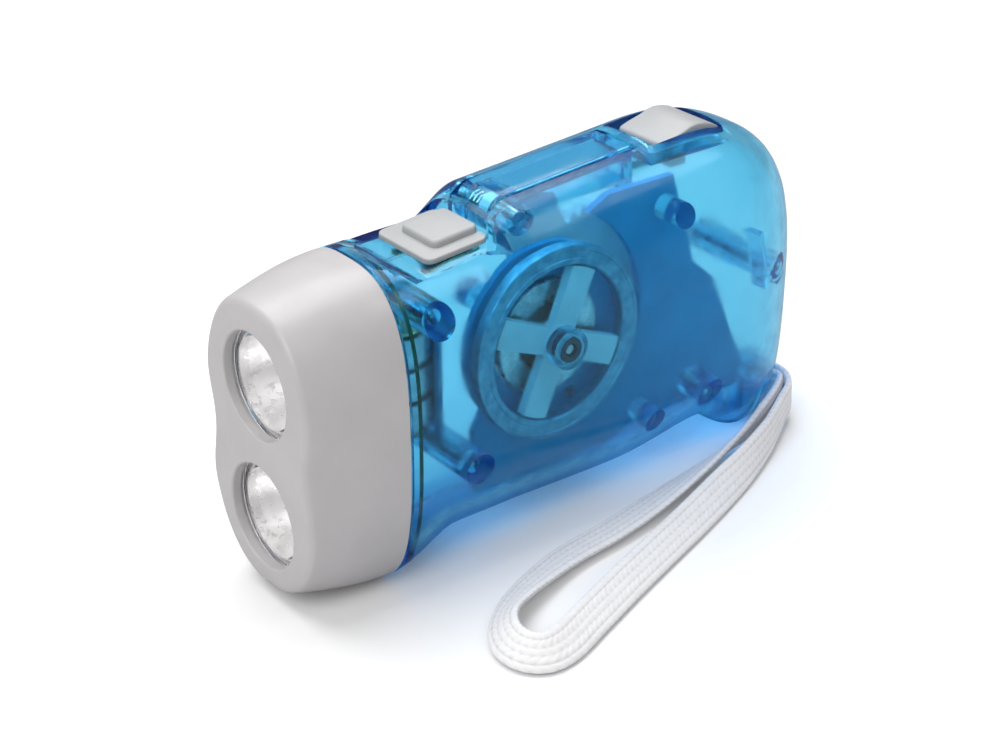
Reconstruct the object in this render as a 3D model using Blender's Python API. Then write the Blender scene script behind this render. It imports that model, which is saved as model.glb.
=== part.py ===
"""Hand-squeezed dynamo torch with two lamps, in metres with +Z up.

The case lies along X with the lamps at its front (-X), the lever on top (+Z) and the parting plane at y = 0.
Places along X are measured from the front face, and a frame object moves them so that the middle of the
case is at the origin and the part stands on z = 0.
"""
import math

import bmesh
import bpy
from mathutils import Matrix, Vector

for old in list(bpy.data.objects):
    bpy.data.objects.remove(old)

# Driving dimensions
CASE_LENGTH = 0.102
CASE_HALF_WIDTH = 0.0146
HEAD_LENGTH = 0.0165
HEAD_TOP_Z = 0.0501
LAMP_SPACING = 0.0213
LAMP_LOW_Z = 0.0134
LEVER_PIVOT_X = CASE_LENGTH * 0.40784
LEVER_PIVOT_Z = 0.0512
LEVER_LENGTH = CASE_LENGTH * 0.23725
ROTOR_X = CASE_LENGTH * 0.45686
ROTOR_Z = 0.0312

# Fits shared by all pieces
FIT = 0.0003
PARTING = 0.00015
OVERRUN = 0.002
SINK = 0.0002

# Case walls and outline, seen from the side
WALL = 0.0018
STEP_START_X = CASE_LENGTH * 0.32353
STEP_END_X = CASE_LENGTH * 0.40196
STEP_Z = 0.05385
CREST_X = CASE_LENGTH * 0.73529
CREST_Z = 0.0570
FOOT_TRIM = 0.0006
FLOOR_DEPTH = 0.003
ARCH_FRONT_X = CASE_LENGTH * 0.27451
ARCH_FRONT_Z = 0.0040
ARCH_MID_X = CASE_LENGTH * 0.58824
ARCH_MID_Z = 0.0032
ARCH_REAR_X = CASE_LENGTH * 0.77451
ARCH_REAR_Z = 0.0053
REAR_FOOT_X = CASE_LENGTH * 0.88725
REAR_MID_Z = 0.025
TOP_CLOSE = CASE_LENGTH * 0.30392
BOTTOM_CLOSE = CASE_LENGTH * 0.08333
PLAN_CLOSE = CASE_LENGTH * 0.23235
END_TRIM = 0.0001
SECTION_POWER = 2.9
TOP_POWER = 2.4
BOTTOM_POWER = 2.1
PLAN_POWER = 1.85
RING_POINTS = 32

# Head
HEAD_WALL = 0.0016
FACE_THICK = 0.0033
FACE_HALF_WIDTH = 0.0140
FACE_TOP_Z = 0.0474
FACE_BOTTOM_Z = 0.0020
FACE_POWER = 2.4
FACE_ROUND = 0.0010
WAIST_DEPTH = 0.0020

# Neck of the case inside the head
NECK_LENGTH = 0.004
NECK_WALL = 0.0014
SHOULDER_LEAN = 0.0001
COLLAR_LENGTH = 0.0028
COLLAR_END_X = HEAD_LENGTH + COLLAR_LENGTH


def blend(low, high, share):
    return low + (high - low) * share


def smooth_step(share):
    share = min(max(share, 0), 1)
    return share * share * (3 - 2 * share)


def spread(start, end, count):
    return [blend(start, end, k / count) for k in range(1, count + 1)]


def arc(center, radius, start, end, count):
    """Points (x, z) on an arc; angles in degrees from +X towards +Z."""
    points = []
    for k in range(count + 1):
        angle = math.radians(blend(start, end, k / count))
        points.append((center[0] + radius * math.cos(angle), center[1] + radius * math.sin(angle)))
    return points


def closing(x, length, power, inset):
    """Share of the full size left at x, where a quarter curve of this length closes the rear end."""
    start = CASE_LENGTH + END_TRIM - length
    share = min(max((x - start) / (length - inset), 0), 1)
    return (1 - share ** power) ** (1 / power)


def top_line(x):
    """Height of the case's top before its rear curve."""
    slope = (CREST_Z - STEP_Z) / (CREST_X - STEP_START_X)
    rear = STEP_Z + slope * (x - STEP_START_X)
    return blend(HEAD_TOP_Z, rear, smooth_step((x - STEP_START_X) / (STEP_END_X - STEP_START_X)))


def bottom_line(x):
    """Height of the case's underside: arched between the head and the rear foot."""
    knots = [(HEAD_LENGTH, -FOOT_TRIM), (ARCH_FRONT_X, ARCH_FRONT_Z), (ARCH_MID_X, ARCH_MID_Z),
             (ARCH_REAR_X, ARCH_REAR_Z), (REAR_FOOT_X, -FOOT_TRIM)]
    if x <= knots[0][0]:
        return knots[0][1]
    for (x0, z0), (x1, z1) in zip(knots, knots[1:]):
        if x <= x1:
            return blend(z0, z1, smooth_step((x - x0) / (x1 - x0)))
    return knots[-1][1]


def head_size(x):
    """Half width, top, bottom, section power and waist share of the head at x."""
    share = min(max(x / HEAD_LENGTH, 0), 1)
    ease = math.sin(math.pi / 2 * share)
    half = blend(FACE_HALF_WIDTH, CASE_HALF_WIDTH, ease)
    top = blend(FACE_TOP_Z, HEAD_TOP_Z, ease)
    bottom = blend(FACE_BOTTOM_Z, -FOOT_TRIM, ease)
    power = blend(FACE_POWER, SECTION_POWER, ease)
    waist = WAIST_DEPTH / FACE_HALF_WIDTH * (1 - share) ** 1.5
    return half, top, bottom, power, waist


def case_size(x, inset):
    """Half width, top and bottom of the case at x, drawn in by inset."""
    top = blend(REAR_MID_Z, top_line(x) - inset, closing(x, TOP_CLOSE, TOP_POWER, inset))
    bottom = blend(REAR_MID_Z, bottom_line(x) + inset, closing(x, BOTTOM_CLOSE, BOTTOM_POWER, inset))
    half = (CASE_HALF_WIDTH - inset) * closing(x, PLAN_CLOSE, PLAN_POWER, inset)
    return half, top, bottom


def section_point(half, top, bottom, power, angle):
    """Point (y, z) of a rounded section; angle from +Y towards +Z."""
    c, s = math.cos(angle), math.sin(angle)
    y = math.copysign(abs(c) ** (2 / power), c) * half
    z = (top + bottom) / 2 + math.copysign(abs(s) ** (2 / power), s) * (top - bottom) / 2
    return y, z


def head_ring(x, inset, angles):
    """Section of the head at x: drawn in at the middle of the figure-of-eight face."""
    half, top, bottom, power, waist = head_size(x)
    middle = (top + bottom) / 2
    ring = []
    for angle in angles:
        y, z = section_point(half - inset, top - inset, bottom + inset, power, angle)
        lift = min(abs(z - middle) / (LAMP_SPACING / 2), 1)
        y *= 1 - waist * math.cos(math.pi / 2 * lift) ** 2
        ring.append((x, y, z))
    return ring


def case_ring(x, inset, angles):
    if x <= HEAD_LENGTH:
        return head_ring(x, inset, angles)
    half, top, bottom = case_size(x, inset)
    ring = [section_point(half, top, bottom, SECTION_POWER, angle) for angle in angles]
    return [(x, y, z) for y, z in ring]


def full_angles():
    return [2 * math.pi * k / RING_POINTS for k in range(RING_POINTS)]


def half_angles(side):
    """Angles of the half section on one side: side -1 is the near half, +1 the far half."""
    start = -math.pi / 2 if side > 0 else math.pi / 2
    return [start + 2 * math.pi * k / RING_POINTS for k in range(RING_POINTS // 2 + 1)]


def case_stations(end):
    """Places along X where the case's section is taken, from the head to the end."""
    bottom_start = CASE_LENGTH + END_TRIM - BOTTOM_CLOSE
    top_start = CASE_LENGTH + END_TRIM - TOP_CLOSE
    places = spread(HEAD_LENGTH + PARTING, STEP_START_X, 4)
    places += spread(STEP_START_X, STEP_END_X, 4)
    places += spread(STEP_END_X, top_start, 5)
    places += spread(top_start, REAR_FOOT_X, 5)
    turns = [math.sin(math.radians(turn)) for turn in (0, 20, 40, 57, 72, 90)]
    places += [blend(bottom_start, end, turn) for turn in turns]
    return places


# Mesh tools


def finished(bm):
    bmesh.ops.remove_doubles(bm, verts=bm.verts, dist=0.000001)
    bmesh.ops.recalc_face_normals(bm, faces=bm.faces)
    mesh = bpy.data.meshes.new("solid")
    bm.to_mesh(mesh)
    bm.free()
    return mesh


def loft(rings):
    """Closed solid through rings with equal numbers of points."""
    bm = bmesh.new()
    rows = [[bm.verts.new(point) for point in ring] for ring in rings]
    count = len(rows[0])
    for low, high in zip(rows, rows[1:]):
        for k in range(count):
            bm.faces.new((low[k], low[(k + 1) % count], high[(k + 1) % count], high[k]))
    bm.faces.new(rows[0])
    bm.faces.new(rows[-1])
    return finished(bm)


def prism(outline, low, high, along="y"):
    """Outline extruded along one axis; its points are (x, z), (x, y) or (y, z)."""
    place = {"y": lambda a, b: (a, low, b),
             "z": lambda a, b: (a, b, low),
             "x": lambda a, b: (low, a, b)}[along]
    push = {"y": (0, high - low, 0), "z": (0, 0, high - low), "x": (high - low, 0, 0)}[along]
    bm = bmesh.new()
    face = bm.faces.new([bm.verts.new(place(a, b)) for a, b in outline])
    grown = bmesh.ops.extrude_face_region(bm, geom=[face])
    bmesh.ops.translate(bm, vec=push, verts=[v for v in grown["geom"] if isinstance(v, bmesh.types.BMVert)])
    return finished(bm)


def box(low, high):
    x0, y0, z0 = low
    x1, y1, z1 = high
    return prism([(x0, z0), (x1, z0), (x1, z1), (x0, z1)], y0, y1)


def rod(center, radius, low, high, along="y", count=16):
    circle = [(center[0] + radius * math.cos(2 * math.pi * (k + 0.5) / count),
               center[1] + radius * math.sin(2 * math.pi * (k + 0.5) / count)) for k in range(count)]
    return prism(circle, low, high, along)


def turned(profile, center, along="y", count=24):
    """Profile of (radius, distance along the axis) spun about an axis through center."""
    axis = {"x": (1, 0, 0), "y": (0, 1, 0), "z": (0, 0, 1)}[along]
    place = {"x": lambda r, d: (d, center[0], center[1] + r),
             "y": lambda r, d: (center[0], d, center[1] + r),
             "z": lambda r, d: (center[0] + r, center[1], d)}[along]
    bm = bmesh.new()
    verts = [bm.verts.new(place(r, d)) for r, d in profile]
    pairs = zip(verts, verts[1:] + verts[:1])
    edges = [bm.edges.new(pair) for pair in pairs
             if not all(v is verts[0] or v is verts[-1] for v in pair) or profile[0][0] > 0]
    middle = {"x": (0, center[0], center[1]),
              "y": (center[0], 0, center[1]),
              "z": (center[0], center[1], 0)}[along]
    bmesh.ops.spin(bm, geom=verts + edges, cent=middle, axis=axis,
                   angle=2 * math.pi, steps=count, use_merge=True)
    return finished(bm)


def joined(meshes):
    """Several separate solids as one mesh."""
    bm = bmesh.new()
    for mesh in meshes:
        bm.from_mesh(mesh)
    whole = bpy.data.meshes.new("solids")
    bm.to_mesh(whole)
    bm.free()
    return whole


def worked(blank, steps):
    """The blank with other solids cut away or joined on, in turn."""
    body = bpy.data.objects.new("blank", blank)
    bpy.context.scene.collection.objects.link(body)
    tools = []
    for operation, mesh in steps:
        tool = bpy.data.objects.new("tool", mesh)
        bpy.context.scene.collection.objects.link(tool)
        tools.append(tool)
        change = body.modifiers.new(operation, "BOOLEAN")
        change.operation = operation
        change.object = tool
    shaped = body.evaluated_get(bpy.context.evaluated_depsgraph_get())
    mesh = bpy.data.meshes.new_from_object(shaped)
    for thing in tools + [body]:
        bpy.data.objects.remove(thing)
    return mesh


def cut(blank, *meshes):
    return worked(blank, [("DIFFERENCE", mesh) for mesh in meshes])


def fused(blank, *meshes):
    return worked(blank, [("UNION", mesh) for mesh in meshes])


def rounded(mesh, width, segments, wanted):
    """The mesh with the edges that wanted(edge) picks rounded off."""
    bm = bmesh.new()
    bm.from_mesh(mesh)
    edges = [edge for edge in bm.edges if wanted(edge)]
    bmesh.ops.bevel(bm, geom=edges, offset=width, segments=segments, profile=0.5, affect="EDGES")
    return finished(bm)


# Materials and placing

LOOKS = {
    "shell": ((0.10, 0.55, 0.85, 1), 0.08, 0, 0.85),
    "head": ((0.47, 0.455, 0.46, 1), 0.35, 0, 0),
    "buttons": ((0.465, 0.47, 0.48, 1), 0.4, 0, 0),
    "lens": ((0.95, 0.97, 1, 1), 0.03, 0, 0.95),
    "mirror": ((0.9, 0.9, 0.92, 1), 0.06, 1, 0),
    "lamp": ((0.9, 0.9, 0.85, 1), 0.1, 0, 0.6),
    "nylon": ((0.85, 0.86, 0.86, 1), 0.45, 0, 0),
    "steel": ((0.6, 0.61, 0.62, 1), 0.25, 1, 0),
    "copper": ((0.75, 0.33, 0.12, 1), 0.35, 1, 0),
    "magnet": ((0.12, 0.12, 0.13, 1), 0.4, 0.3, 0),
    "dark": ((0.09, 0.11, 0.14, 1), 0.45, 0, 0),
    "carrier": ((0.07, 0.21, 0.33, 1), 0.5, 0, 0),
    "board": ((0.05, 0.25, 0.1, 1), 0.5, 0, 0),
    "strap": ((0.86, 0.85, 0.83, 1), 0.85, 0, 0),
}


def look(name):
    """The named material, made when first needed."""
    if name in bpy.data.materials:
        return bpy.data.materials[name]
    color, rough, metal, clear = LOOKS[name]
    material = bpy.data.materials.new(name)
    material.use_nodes = True
    shader = material.node_tree.nodes["Principled BSDF"]
    shader.inputs["Base Color"].default_value = color
    shader.inputs["Roughness"].default_value = rough
    shader.inputs["Metallic"].default_value = metal
    shader.inputs["Transmission Weight"].default_value = clear
    return material


case_frame = bpy.data.objects.new("case_frame", None)
case_frame.location = (-CASE_LENGTH / 2, 0, 0)
bpy.context.scene.collection.objects.link(case_frame)


def add_piece(name, mesh, material, origin=(0, 0, 0)):
    """One named object of the torch, with its origin at a point of the case's own frame."""
    mesh.transform(Matrix.Translation(-Vector(origin)))
    mesh.shade_smooth()
    mesh.set_sharp_from_angle(angle=math.radians(32))
    mesh.materials.clear()
    mesh.materials.append(look(material))
    mesh.name = name
    piece = bpy.data.objects.new(name, mesh)
    piece.location = origin
    piece.parent = case_frame
    bpy.context.scene.collection.objects.link(piece)
    return piece


# Places of the mechanism, seen from the near side as (x, z)

PIVOT = (LEVER_PIVOT_X, LEVER_PIVOT_Z)
ROTOR = (ROTOR_X, ROTOR_Z)
PRESSURE_ANGLE = math.radians(25)
LASH = 0.00012
SECTOR_TEETH = 55
SECTOR_CUT_TEETH = 5
DRIVE_PINION_TEETH = 11
DRIVE_WHEEL_TEETH = 36
CLUTCH_PINION_TEETH = 11
CLUTCH_WHEEL_TEETH = 32
ROTOR_PINION_TEETH = 10
SECTOR_MODULE = 0.0008
DRIVE_MODULE = 0.0007
CLUTCH_MODULE = 0.0006
DRIVE_DIRECTION = -42.5
LEVER_SWING = 26


def mesh_distance(teeth, other_teeth, module):
    return (teeth + other_teeth) * module / 2


def polar(center, radius, angle):
    angle = math.radians(angle)
    return center[0] + radius * math.cos(angle), center[1] + radius * math.sin(angle)


def direction(start, end):
    return math.degrees(math.atan2(end[1] - start[1], end[0] - start[0]))


def lower_meeting(first, first_radius, second, second_radius):
    """The lower of the two points at the given distances from two centres."""
    span = math.dist(first, second)
    along = (first_radius ** 2 - second_radius ** 2 + span ** 2) / (2 * span)
    aside = math.sqrt(first_radius ** 2 - along ** 2)
    ux, uz = (second[0] - first[0]) / span, (second[1] - first[1]) / span
    found = [(first[0] + ux * along - uz * side * aside, first[1] + uz * along + ux * side * aside)
             for side in (-1, 1)]
    return min(found, key=lambda point: point[1])


DRIVE = polar(PIVOT, mesh_distance(SECTOR_TEETH, DRIVE_PINION_TEETH, SECTOR_MODULE), DRIVE_DIRECTION)
CLUTCH = lower_meeting(DRIVE, mesh_distance(DRIVE_WHEEL_TEETH, CLUTCH_PINION_TEETH, DRIVE_MODULE),
                       ROTOR, mesh_distance(CLUTCH_WHEEL_TEETH, ROTOR_PINION_TEETH, CLUTCH_MODULE))

# Layers of the mechanism along Y
SECTOR_LOW_Y = CASE_HALF_WIDTH * -0.17808
SECTOR_HIGH_Y = CASE_HALF_WIDTH * -0.02740
DRIVE_PINION_LOW_Y = CASE_HALF_WIDTH * -0.19178
DRIVE_WHEEL_LOW_Y = CASE_HALF_WIDTH * 0.01370
DRIVE_WHEEL_HIGH_Y = CASE_HALF_WIDTH * 0.15068
CLUTCH_PINION_LOW_Y = CASE_HALF_WIDTH * -0.00685
STAR_LOW_Y = CASE_HALF_WIDTH * 0.17123
STAR_HIGH_Y = CASE_HALF_WIDTH * 0.26712
PAWL_RING_LOW_Y = CASE_HALF_WIDTH * 0.19863
CLUTCH_WHEEL_LOW_Y = CASE_HALF_WIDTH * 0.30137
CLUTCH_WHEEL_HIGH_Y = CASE_HALF_WIDTH * 0.43836
ROTOR_PINION_LOW_Y = CASE_HALF_WIDTH * 0.28767
ROTOR_PINION_HIGH_Y = CASE_HALF_WIDTH * 0.45205
BRACKET_LOW_Y = CASE_HALF_WIDTH * -0.43836
BRACKET_HIGH_Y = CASE_HALF_WIDTH * -0.35616
FLYWHEEL_LOW_Y = CASE_HALF_WIDTH * -0.70548
FLYWHEEL_HIGH_Y = CASE_HALF_WIDTH * -0.55479
MAGNET_LOW_Y = CASE_HALF_WIDTH * -0.47945
MAGNET_HIGH_Y = CASE_HALF_WIDTH * -0.20548
STATOR_LOW_Y = CASE_HALF_WIDTH * -0.50685
STATOR_HIGH_Y = CASE_HALF_WIDTH * -0.19863

# Shafts and their seats
AXLE_RADIUS = 0.0008
ROTOR_SHAFT_RADIUS = 0.00075
AXLE_NEAR_Y = CASE_HALF_WIDTH * -0.45205
AXLE_FAR_Y = CASE_HALF_WIDTH * 0.78767
ROTOR_NEAR_Y = CASE_HALF_WIDTH * -0.86301
ROTOR_FAR_Y = CASE_HALF_WIDTH * 0.68493
AXLE_BOSS_RADIUS = 0.0024
DRIVE_BOSS_Y = CASE_HALF_WIDTH * 0.34247
CLUTCH_BOSS_Y = CASE_HALF_WIDTH * 0.47260
ROTOR_BOSS_Y = CASE_HALF_WIDTH * 0.48630
BUSHING_RADIUS = 0.0020
BUSHING_LOW_Y = CASE_HALF_WIDTH * -0.89041
BUSHING_HIGH_Y = CASE_HALF_WIDTH * -0.74658
BUSHING_BOSS_RADIUS = 0.0032
LEVER_PIN_RADIUS = 0.0009
LEVER_PIN_HALF = 0.0066
PIN_BOSS_START_Y = 0.0048
PIN_BOSS_END_Y = 0.0073
PIN_BOSS_RADIUS = 0.0023
DEEP = 0.020

# Scoop for the switch: floor rising to the rear
SCOOP_SETBACK = 0.0005
SCOOP_FRONT_X = HEAD_LENGTH + SCOOP_SETBACK
SCOOP_FRONT_Z = 0.0504
SCOOP_BREAK_X = CASE_LENGTH * 0.22353
SCOOP_BREAK_Z = 0.0478
SCOOP_REAR_X = CASE_LENGTH * 0.36373
SCOOP_REAR_Z = 0.0490
SCOOP_HALF_WIDTH = 0.0095
SCOOP_CORNER = 0.003
SCOOP_TOP_Z = 0.060
SWITCH_TRAVEL = 0.0020
SWITCH_STEM_FRONT_X = CASE_LENGTH * 0.28431
SWITCH_STEM_LENGTH = CASE_LENGTH * 0.03922
SWITCH_SLOT_FRONT_X = SWITCH_STEM_FRONT_X - SWITCH_TRAVEL - FIT
SWITCH_SLOT_REAR_X = SWITCH_STEM_FRONT_X + SWITCH_STEM_LENGTH + FIT
SWITCH_SLOT_HALF = 0.0024

# Slot of the lever and pocket of the latch
LEVER_SLOT_FRONT_X = CASE_LENGTH * 0.37157
LEVER_SLOT_REAR_X = CASE_LENGTH * 0.64804
LEVER_SLOT_HALF = 0.0046
LEVER_SLOT_LOW_Z = 0.0472
POCKET_FRONT_X = CASE_LENGTH * 0.66667
POCKET_REAR_X = CASE_LENGTH * 0.81961
POCKET_HALF = 0.0056
POCKET_FLOOR_Z = 0.0542
POCKET_BACK_FRONT_X = CASE_LENGTH * 0.65686
POCKET_BACK_REAR_X = CASE_LENGTH * 0.83529
POCKET_BACK_HALF = 0.0074
POCKET_BACK_THICK = 0.0015
LATCH_TRAVEL = 0.0024
LATCH_PLAY = 0.0004
LATCH_STEM_FRONT_X = CASE_LENGTH * 0.71569
LATCH_STEM_REAR_X = CASE_LENGTH * 0.75000
LATCH_SLOT_FRONT_X = LATCH_STEM_FRONT_X - LATCH_TRAVEL - LATCH_PLAY
LATCH_SLOT_REAR_X = LATCH_STEM_REAR_X + LATCH_PLAY
LATCH_SLOT_HALF = 0.0030

# Screws, entering from the far side. Places in the side view are shares of the case's length and height
BOSS_RADIUS = 0.0026
SCREW_SHANK_RADIUS = 0.0009
SCREW_HEAD_RADIUS = 0.0022
SCREW_HEAD_HEIGHT = 0.0014
SCREW_SINK = 0.0007
RECESS_WIDTH = 0.0006
RECESS_REACH = 0.0013
RECESS_DEPTH = 0.0008
SCREW_SHARES = {
    "front_top": (0.23529, 0.73333),
    "front_low": (0.29412, 0.28947),
    "rear_top": (0.91176, 0.52632),
    "rear_low": (0.76471, 0.22807),
}
SCREW_PLACES = {name: (CASE_LENGTH * a, CREST_Z * b) for name, (a, b) in SCREW_SHARES.items()}
SCREW_TIP_Y = CASE_HALF_WIDTH * -0.60274
REAR_BOSS_END_Y = CASE_HALF_WIDTH * -0.47945
REAR_SCREW_TIP_Y = CASE_HALF_WIDTH * -0.58904
POST_RADIUS = 0.0020
POST_TOP = (CASE_LENGTH * 0.68627, CREST_Z * 0.80702)
POST_LOW = (CASE_LENGTH * 0.64706, CREST_Z * 0.21053)
POST_END_Y = CASE_HALF_WIDTH * -0.45890

# Strap chamber in the rear corner of the near half
STRAP_PIN_X = CASE_LENGTH * 0.93627
STRAP_PIN_Y = CASE_HALF_WIDTH * -0.27397
STRAP_PIN_RADIUS = 0.0012
STRAP_THICK = 0.0012
STRAP_WIDTH = 0.0060
CHAMBER_FRONT_X = CASE_LENGTH * 0.90588
CHAMBER_LOW_Y = CASE_HALF_WIDTH * -0.48630
CHAMBER_HIGH_Y = CASE_HALF_WIDTH * -0.06164
CHAMBER_LOW_Z = 0.0020
CHAMBER_HIGH_Z = 0.0090
CHAMBER_WALL = 0.0012
CHAMBER_ROOF = 0.0016


def side_view(shares):
    """Points (x, z) from shares of the case's length and height."""
    return [(CASE_LENGTH * a, CREST_Z * b) for a, b in shares]


def case_surface_y(x, z):
    """Half width of the case's outside at one place."""
    half, top, bottom = case_size(x, 0)
    rise = min(abs(z - (top + bottom) / 2) / ((top - bottom) / 2), 1)
    return half * (1 - rise ** SECTION_POWER) ** (1 / SECTION_POWER)


def under_floor():
    """Block that trims the underside to the plane the torch stands on."""
    reach = CASE_HALF_WIDTH + OVERRUN
    return box((-OVERRUN, -reach, -FLOOR_DEPTH), (CASE_LENGTH + OVERRUN, reach, 0))


def half_blank(side):
    """One half of the case with its neck, solid."""
    angles = half_angles(side)
    rings = [head_ring(HEAD_LENGTH - NECK_LENGTH, HEAD_WALL + FIT, angles),
             head_ring(HEAD_LENGTH + PARTING, HEAD_WALL + FIT, angles)]
    first = HEAD_LENGTH + PARTING
    rings.append([(first + SHOULDER_LEAN, y, z) for _, y, z in head_ring(HEAD_LENGTH, 0, angles)])
    rings += [case_ring(x, 0, angles) for x in case_stations(CASE_LENGTH)]
    trimmed = [[(x, side * max(abs(y), PARTING), z) for x, y, z in ring] for ring in rings]
    return loft(trimmed)


def case_room():
    """The space inside the case, with the neck and the collar behind it."""
    angles = full_angles()
    collar = HEAD_WALL + FIT + NECK_WALL
    neck_start = HEAD_LENGTH - NECK_LENGTH - OVERRUN
    rings = [head_ring(neck_start, collar, angles), head_ring(HEAD_LENGTH, collar, angles)]
    rings += [case_ring(COLLAR_END_X, collar, angles), case_ring(COLLAR_END_X, WALL, angles)]
    end = CASE_LENGTH - WALL
    rings += [case_ring(x, WALL, angles) for x in case_stations(end) if x > COLLAR_END_X + WALL]
    return loft(rings)


def scoop_backing():
    """Material kept under and behind the scoop."""
    side = SCOOP_HALF_WIDTH + WALL
    outline = [(COLLAR_END_X - FIT, SCOOP_TOP_Z), (COLLAR_END_X - FIT, SCOOP_FRONT_Z - WALL),
               (SCOOP_BREAK_X - SINK, SCOOP_BREAK_Z - WALL), (SCOOP_REAR_X + WALL, SCOOP_REAR_Z - WALL),
               (SCOOP_REAR_X + WALL, SCOOP_TOP_Z)]
    return prism(outline, -side, side)


def scoop_cutter():
    """The scoop itself, with its rear corners rounded."""
    outline = [(SCOOP_FRONT_X, SCOOP_FRONT_Z), (SCOOP_BREAK_X, SCOOP_BREAK_Z),
               (SCOOP_REAR_X, SCOOP_REAR_Z), (SCOOP_REAR_X, SCOOP_TOP_Z), (SCOOP_FRONT_X, SCOOP_TOP_Z)]
    block = prism(outline, -SCOOP_HALF_WIDTH, SCOOP_HALF_WIDTH)

    def rear_corner(edge):
        upright = abs(edge.verts[0].co.x - edge.verts[1].co.x) < SINK
        at_rear = min(v.co.x for v in edge.verts) > SCOOP_REAR_X - SINK
        along_side = abs(edge.verts[0].co.y - edge.verts[1].co.y) < SINK
        return upright and at_rear and along_side
    return rounded(block, SCOOP_CORNER, 4, rear_corner)


def latch_backing():
    return box((POCKET_BACK_FRONT_X, -POCKET_BACK_HALF, POCKET_FLOOR_Z - POCKET_BACK_THICK),
               (POCKET_BACK_REAR_X, POCKET_BACK_HALF, SCOOP_TOP_Z))


def pin_bosses():
    return joined([rod(PIVOT, PIN_BOSS_RADIUS, side * PIN_BOSS_START_Y, side * PIN_BOSS_END_Y)
                   for side in (-1, 1)])


def top_openings():
    """Openings in the top that both halves share."""
    return [
        scoop_cutter(),
        box((SWITCH_SLOT_FRONT_X, -SWITCH_SLOT_HALF, SCOOP_BREAK_Z - 3 * WALL),
            (SWITCH_SLOT_REAR_X, SWITCH_SLOT_HALF, SCOOP_TOP_Z)),
        box((LEVER_SLOT_FRONT_X, -LEVER_SLOT_HALF, LEVER_SLOT_LOW_Z),
            (LEVER_SLOT_REAR_X, LEVER_SLOT_HALF, SCOOP_TOP_Z)),
        box((POCKET_FRONT_X, -POCKET_HALF, POCKET_FLOOR_Z), (POCKET_REAR_X, POCKET_HALF, SCOOP_TOP_Z)),
        box((LATCH_SLOT_FRONT_X, -LATCH_SLOT_HALF, POCKET_FLOOR_Z - 2 * POCKET_BACK_THICK),
            (LATCH_SLOT_REAR_X, LATCH_SLOT_HALF, SCOOP_TOP_Z)),
        rod(PIVOT, LEVER_PIN_RADIUS + FIT, -LEVER_PIN_HALF - FIT, LEVER_PIN_HALF + FIT),
    ]


def screw_head_low(name):
    """Y where a screw's head seats, sunk under the far surface."""
    x, z = SCREW_PLACES[name]
    return case_surface_y(x, z) - SCREW_SINK - SCREW_HEAD_HEIGHT


def screw_tip(name):
    return REAR_SCREW_TIP_Y if name == "rear_top" else SCREW_TIP_Y


V_RIB_SHARES = [(0.84118, 0.67544), (0.84804, 0.65263), (0.86765, 0.49649), (0.89706, 0.53509),
                (0.89314, 0.55439), (0.87157, 0.52982), (0.85294, 0.68070)]
V_RIB_END_Y = CASE_HALF_WIDTH * -0.58219


def near_shell():
    """Near half: bosses, posts, rotor seat, rib and the strap chamber."""
    chamber = box((CHAMBER_FRONT_X - CHAMBER_WALL, CHAMBER_LOW_Y - CHAMBER_WALL, -WALL),
                  (CASE_LENGTH + OVERRUN, PARTING, CHAMBER_HIGH_Z + CHAMBER_ROOF))
    kept = [scoop_backing(), latch_backing(), pin_bosses(), chamber,
            rod(ROTOR, BUSHING_BOSS_RADIUS, -DEEP, BUSHING_HIGH_Y + SINK),
            rod(POST_TOP, POST_RADIUS, -DEEP, POST_END_Y), rod(POST_LOW, POST_RADIUS, -DEEP, POST_END_Y),
            prism(side_view(V_RIB_SHARES), -DEEP, V_RIB_END_Y)]
    for name, place in SCREW_PLACES.items():
        end = REAR_BOSS_END_Y - FIT if name == "rear_top" else PARTING
        kept.append(rod(place, BOSS_RADIUS, -DEEP, end))
    room = cut(case_room(), *kept)
    holes = [rod(place, SCREW_SHANK_RADIUS + FIT, screw_tip(name) - FIT, PARTING)
             for name, place in SCREW_PLACES.items()]
    holes.append(rod(ROTOR, BUSHING_RADIUS + FIT, BUSHING_LOW_Y - SINK, BUSHING_HIGH_Y + OVERRUN))
    opening = box((CHAMBER_FRONT_X, CHAMBER_LOW_Y, CHAMBER_LOW_Z),
                  (CASE_LENGTH + OVERRUN, CHAMBER_HIGH_Y, CHAMBER_HIGH_Z))
    pin_hole = rod((STRAP_PIN_X, STRAP_PIN_Y), STRAP_PIN_RADIUS + FIT,
                   CHAMBER_LOW_Z - CHAMBER_WALL + SINK, CHAMBER_HIGH_Z + CHAMBER_WALL, "z", 12)
    return cut(half_blank(-1), under_floor(), room, *top_openings(), *holes, opening, pin_hole)


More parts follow.
